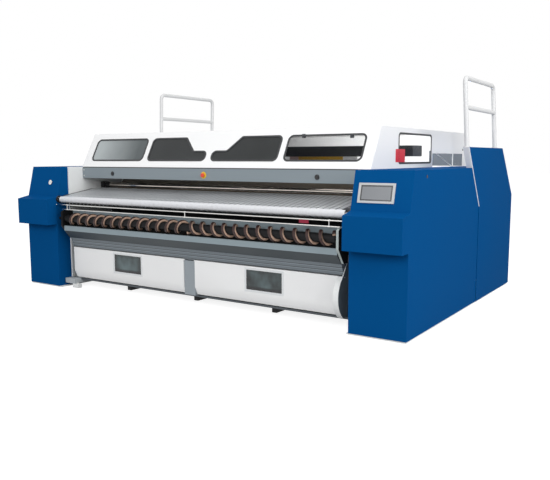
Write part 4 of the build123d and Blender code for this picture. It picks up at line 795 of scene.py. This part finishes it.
# Painted light: the upper part of each window carries a mottled painted reflection, which fades as painted
# shade towards the frame; below it the glass keeps its dark tint.
frame_shade = door_glass.ramp(to_side.either(to_sill), 0.55, 1.0)
reflection_zone = door_glass.ramp(door_glass.axis("Z") + 0.015 * haze_and_glint, 0.292, 0.315)
low_glass = door_glass.toned((0.007, 0.008, 0.010, 1), 0.7 + 0.6 * haze_and_glint)
painted_glint = (3.0 * haze_and_glint - 0.7).either(0.15) * (1.25 - frame_shade)
reflected_tone = door_glass.toned((0.05, 0.075, 0.08, 1), painted_glint)
door_glass.set("Base Color", door_glass.mixed(reflection_zone, low_glass, reflected_tone))
# Painted shade: the raised window frames are a greyer white than the door, which outlines them.
frame_shade_paint = painted("window_frame_shaded", (0.72, 0.74, 0.755, 1), 0.4, 0.25)
door_face = back(0.14)
for name in ("left", "right"):
    body = f"door_{name}"
    dressed(body + "_panel", door_paint, 0.0012)
    dressed(body + "_window", door_glass, 0.0008)
    low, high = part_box(body + "_window")
    x, z = (low.x + high.x) / 2, (low.z + high.z) / 2
    half, tall = (high.x - low.x) / 2 - 0.012, (high.z - low.z) / 2 - 0.012
    rim = Shape()
    ledge, proud = 0.022, 0.003
    for left, right, foot, top in ((-half - ledge, half + ledge, tall, tall + ledge),
                                   (-half - ledge, half + ledge, -tall - ledge, -tall),
                                   (-half - ledge, -half, -tall, tall), (half, half + ledge, -tall, tall)):
        rim.slab((x + left, door_face - proud, z + foot), (x + right, door_face + 0.0005, z + top))
    rim.made(body + "_window_frame", frame_shade_paint, "door_white", body, 0.0012)
post_paint = painted("post_grey", (0.27, 0.305, 0.335, 1), 0.35, 0.45)
dressed("centre_post", post_paint)
cheek_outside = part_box("end_cheeks")[1].x
# Painted shade: the left cheek, the flat faces of the right one and all behind cheek_rear take a dark
# blue-grey.
cheek_shaded = painted("cheek_shaded", (0.12, 0.15, 0.17, 1), 0.5, 0.2)
cheek_middle, cheek_rear = cheek_outside - 0.004, 0.185


def cheek_side(spot):
    """0 for the right cheek's folded front edge and its rim, 1 for all else."""
    flat = spot.x > cheek_outside - 0.0085 and abs(spot.x - cheek_middle) > 0.0035
    return int(spot.x < 0 or flat or spot.y > back(cheek_rear))


dressed("end_cheeks", [frame_paint, cheek_shaded], 0.001, cheek_side)


# ---------------------------------------------------------------- drive
# A geared motor drives both rolls by a roller chain in the right casing; two smaller geared
# motors turn the feed belts and the spreading roller.
drive_metal = steel("drive_steel", (0.30, 0.29, 0.28, 1), 0.35)
motor_paint = painted("motor_grey", (0.16, 0.19, 0.22, 1), 0.45)
for part in ("sprocket_front", "sprocket_rear", "motor_sprocket"):
    dressed(part, drive_metal, 0.0006)
dressed("gearmotors", motor_paint, 0.003)


def motor_trim(shape, foot, axis, radius, length, fin=0.008):
    """Cooling fins along a motor's barrel, and the cowl over its fan."""
    axis = Vector(axis)
    lay = axis.to_track_quat("Z", "Y").to_matrix()
    count = int(2 * pi * radius / 0.02)
    for i in range(count):
        turn = 2 * pi * i / count
        ring = []
        for reach in (0.02, length * 0.74):
            for out in (radius - 0.002, radius + fin):
                for across in (-0.0013, 0.0013):
                    spot = Vector((out * cos(turn) - across * sin(turn),
                                   out * sin(turn) + across * cos(turn), reach))
                    ring.append(shape.mesh.verts.new(Vector(foot) + lay @ spot))
        for face in ((0, 1, 3, 2), (4, 6, 7, 5), (0, 4, 5, 1), (2, 3, 7, 6), (0, 2, 6, 4), (1, 5, 7, 3)):
            shape.face([ring[k] for k in face])
    cowl = radius + fin + 0.001
    shape.turned([(radius - 0.002, length * 0.76), (cowl, length * 0.76), (cowl, length * 0.97),
                  (cowl * 0.86, length + 0.004), (0, length + 0.004)], foot, axis, 40)


motors = Shape()
drive_start = inner_wall + 0.117
motor_trim(motors, (drive_start + 0.11, back(1.78), 0.43), (0, 1, 0), 0.105, 0.38)
motor_trim(motors, (inner_wall + 0.153, back(0.09), 1.058), (1, 0, 0), 0.052, 0.21, 0.006)
motor_trim(motors, (-(inner_wall + 0.153), back(0.08), 0.87), (-1, 0, 0), 0.06, 0.21, 0.006)
motors.slab((drive_start + 0.06, back(1.86), 0.535), (drive_start + 0.16, back(1.96), 0.585))
motors.made("motor_fins_and_cowls", motor_paint, "motor_grey", edge=0.0008)
links = Shape()
chain_x, chain_width, chain_pitch, plate_radius = inner_wall + 0.084, 0.018, 0.0254, 0.0065
pitch_circles = [(axis_y, roll_height, 0.1877) for axis_y in roll_axis.values()]
pitch_circles.append((back(1.65), 0.43, 0.0777))


def chain_path(circles):
    """Closed path round the circles, from one outer tangent to the next, as (y, z) points."""
    order = [circles[0], circles[2], circles[1]]
    points = []
    for i, (y, z, radius) in enumerate(order):
        marks = []
        for other, sign in ((order[i - 1], -1), (order[(i + 1) % 3], 1)):
            gap = hypot(other[0] - y, other[1] - z)
            lean = atan2(other[1] - z, other[0] - y)
            marks.append(lean - sign * acos((radius - other[2]) / gap))
        start, end = marks
        end += 2 * pi * ceil((start - end) / (2 * pi))
        steps = max(4, int((end - start) * radius / 0.004))
        for k in range(steps + 1):
            turn = start + (end - start) * k / steps
            points.append((y + radius * cos(turn), z + radius * sin(turn)))
    return points


def evenly(points, count):
    """Places at equal distances round a closed path, with the direction there."""
    loop = points + points[:1]
    lengths = [hypot(b[0] - a[0], b[1] - a[1]) for a, b in zip(loop, loop[1:])]
    step = sum(lengths) / count
    made, gone, k = [], 0.0, 0
    for i in range(count):
        while gone + lengths[k] < i * step:
            gone += lengths[k]
            k += 1
        share = (i * step - gone) / lengths[k]
        made.append(tuple(a + (b - a) * share for a, b in zip(loop[k], loop[k + 1])))
    return made


route = chain_path(pitch_circles)
route_length = sum(hypot(b[0] - a[0], b[1] - a[1]) for a, b in zip(route, route[1:] + route[:1]))
pins = evenly(route, 2 * round(route_length / chain_pitch / 2))
for i, (y, z) in enumerate(pins):
    links.turned([(0.0055, 0.0035), (0.0055, chain_width - 0.0035)], (chain_x, y, z), (1, 0, 0), 10)
    ahead = pins[(i + 1) % len(pins)]
    lean = atan2(ahead[1] - z, ahead[0] - y)
    inset = 0.0018 if i % 2 else 0.0
    oval = []
    for foot, first in (((y, z), pi / 2), (ahead, -pi / 2)):
        turns = [lean + first + k * pi / 4 for k in range(5)]
        oval += [(foot[0] + plate_radius * cos(turn), foot[1] + plate_radius * sin(turn)) for turn in turns]
    for start in (inset, chain_width - 0.0015 - inset):
        links.prism(oval, chain_x + start, chain_x + start + 0.0015)
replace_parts(links.made("drive_chain_links", drive_metal, "drive_steel"), "drive_chain")


# ---------------------------------------------------------------- suction
# Galvanised duct from the hollow journals to a fan in the left casing; clamping bands hold its
# joints, and the outlet ends in a flanged spigot on the casing's top.
dressed("suction_ducting", zinc)
dressed("fan_impeller", zinc, 0.0005)
clamps = Shape()
duct_x, fan_y, outlet_y = -(inner_wall + 0.262), back(1.65), back(2.42)
duct_radius, outlet_radius = 0.0802, 0.1002


def band(shape, foot, axis, radius, width=0.014):
    shape.turned([(radius, -width / 2), (radius + 0.0022, -width / 2), (radius + 0.0022, width / 2),
                  (radius, width / 2)], foot, axis, 48)


for depth in (1.03, 1.32, 1.98, 2.27):
    band(clamps, (duct_x, back(depth), roll_height), (0, 1, 0), duct_radius)
for height in (0.72, 0.90):
    band(clamps, (duct_x, fan_y, height), (0, 0, 1), duct_radius)
for height in (0.78, 1.15, 1.44):
    band(clamps, (duct_x, outlet_y, height), (0, 0, 1), outlet_radius)
clamps.made("duct_bands", bright, "bright_steel", edge=0.0004)
fan_trim = Shape()
motor_trim(fan_trim, (duct_x, fan_y, 0.475), (0, 0, -1), 0.095, 0.42, 0.007)
fan_trim.made("fan_motor_fins", motor_paint, "motor_grey", edge=0.0008)
fan_bolts = Shape()
fan_circle, spigot_circle = 0.216, 0.113
for i in range(12):
    turn = i * pi / 6 + pi / 12
    if cos(turn - pi / 2) < 0.55:
        spot = (duct_x + fan_circle * cos(turn), fan_y + fan_circle * sin(turn), 0.70)
        fan_bolts.hex_bolts([spot], (0, 0, 1), 0.011, 0.005)
for i in range(8):
    turn = i * pi / 4 + pi / 8
    spot = (duct_x + spigot_circle * cos(turn), outlet_y + spigot_circle * sin(turn), 1.503)
    fan_bolts.hex_bolts([spot], (0, 0, 1), 0.009, 0.004)
fan_bolts.made("fan_and_spigot_bolts", spindle_steel, "bright_steel", edge=0.0003)


# ---------------------------------------------------------------- delivery side and pipes
# Bright roller, chute and white panels at the rear; lagged steam and condensate pipes, with
# bands round the lagging.
wrap = painted("pipe_insulated", (0.62, 0.62, 0.60, 1), 0.6)
dressed("delivery_roller", bright)
dressed("delivery_chute", zinc)
dressed("rear_panels", door_paint)
dressed("steam_pipes", wrap)
low_panel, high_panel = back(3.313), back(3.337)
rear_screws = Shape()
for face_y, heights in ((low_panel, (0.09, 0.84)), (high_panel, (1.16, 1.47))):
    for z in heights:
        for i in range(11):
            rear_screws.turned(dome, (-1.95 + i * 0.39, face_y, z), (0, 1, 0), 12)
rear_screws.made("rear_panel_screws", zinc, "galvanised")
cross_joint = Shape()
for face_y, foot, top in ((low_panel, 0.062, 0.868), (high_panel, 1.137, 1.498)):
    cross_joint.slab((-0.025, face_y - 0.0005, foot), (0.025, face_y + 0.0015, top))
cross_joint.made("rear_panel_joints", door_paint, "door_white", edge=0.0004)
pipe_bands = Shape()
for x, radius in ((1.0, 0.03015), (-1.0, 0.02415)):
    for i in range(10):
        depth = 1.25 + i * 0.2
        if abs(depth - 2.2) > 0.06:
            band(pipe_bands, (x, back(depth), 0.3), (0, 1, 0), radius + 0.0001, 0.012)
pipe_bands.made("pipe_bands", bright, "bright_steel", edge=0.0003)


# ---------------------------------------------------------------- controls
# Touch panel in a silver frame on the right console, a small round gauge on the left one and a
# grey control cabinet inside the right casing.
silver = painted("bezel_silver", (0.43, 0.44, 0.45, 1), 0.3, 0.5)
panel_low, panel_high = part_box("screen_panel")
screen_x, screen_z = (panel_low.x + panel_high.x) / 2, (panel_low.z + panel_high.z) / 2
screen_half, screen_tall = (panel_high.x - panel_low.x) / 2, (panel_high.z - panel_low.z) / 2
glass_grey = Finish("screen_glass", {"Specular IOR Level": 0.4, "Roughness": 0.15})
off_x = (glass_grey.axis("X") - screen_x).size()
off_z = (glass_grey.axis("Z") - screen_z).size()
border = (off_x > screen_half - 0.013).either(off_z > screen_tall - 0.012)
lit = glass_grey.toned((0.145, 0.157, 0.172, 1), 0.92 + 0.16 * glass_grey.noise(3))
glass_grey.set("Base Color", glass_grey.mixed(border, lit, (0.012, 0.013, 0.015, 1)))
dressed("screen_bezel", silver, 0.0018)
dressed("screen_panel", glass_grey, 0.0008)
dressed("control_cabinet", grey_paint, 0.0015)
dressed("gauge", bright, 0.001)
gauge_low, gauge_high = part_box("gauge")
console_foot, console_top = (0.019, 1.137), (0.110, 1.5)
slope = atan2(console_top[0] - console_foot[0], console_top[1] - console_foot[1])
gauge_axis = Vector((0, -cos(slope), sin(slope)))
gauge_up = Vector((0, sin(slope), cos(slope)))
dial_centre = (gauge_low + gauge_high) / 2 + gauge_axis * (0.008 - 0.0029)
dial_white = painted("dial_white", (0.85, 0.85, 0.83, 1), 0.5)
dial_radius, dial_thick = 0.0258, 0.0006
dial = Shape()
dial.turned([(dial_radius, 0), (dial_radius, dial_thick), (0, dial_thick)], dial_centre, gauge_axis, 48)
dial.coat = 1
dial_right = Vector((1, 0, 0))


def needle(shape, turn, inner, outer, half):
    """A thin bar on the dial, from one radius to another."""
    out = dial_right * sin(turn) + gauge_up * cos(turn)
    sideways = dial_right * cos(turn) - gauge_up * sin(turn)
    ring = []
    for lift in (dial_thick, 2 * dial_thick):
        for radius, side in ((inner, -half), (outer, -half), (outer, half), (inner, half)):
            spot = dial_centre + gauge_axis * lift + out * radius + sideways * side
            ring.append(shape.mesh.verts.new(spot))
    shape.face(ring[:4])
    shape.face(ring[4:])
    shape.skirt(ring[:4], ring[4:])


for i in range(11):
    needle(dial, radians(-135 + 27 * i), 0.019, 0.0235, 0.0006)
needle(dial, radians(-40), -0.005, 0.018, 0.0009)
dial.made("gauge_dial", [dial_white, black_plastic], "gauge_white", smooth=20)


# ---------------------------------------------------------------- handrails
# White bent tube on flanged feet, one beside the hood's roof and one on the right casing; each
# flange is screwed down and the tube welded to it.
# Painted shade: the white tube and its flanges are painted a light grey.
rail_shade_paint = painted("rail_tube", (0.64, 0.645, 0.65, 1), 0.35)
dressed("handrails", rail_shade_paint, 0.0008)
right_rail, left_rail = (2.567, (1.582, 2.605), 1.717), (-1.978, (1.838, 2.990), 1.915)
screw_circle, flange_thick = 0.0292, 0.008
feet = Shape()
for x, depths, top in (right_rail, left_rail):
    for depth in depths:
        feet.turned([(0.0238, flange_thick), (0.0266, flange_thick), (0.0252, 0.0105), (0.0238, 0.013)],
                    (x, back(depth), top), (0, 0, 1), 32)
        for i in range(4):
            turn = pi / 4 + i * pi / 2
            y = back(depth) + screw_circle * sin(turn)
            spot = (x + screw_circle * cos(turn), y, top + flange_thick)
            feet.hex_bolts([spot], (0, 0, 1), 0.005, 0.003, False)
feet.made("handrail_welds_and_screws", rail_shade_paint, "rail_tube")
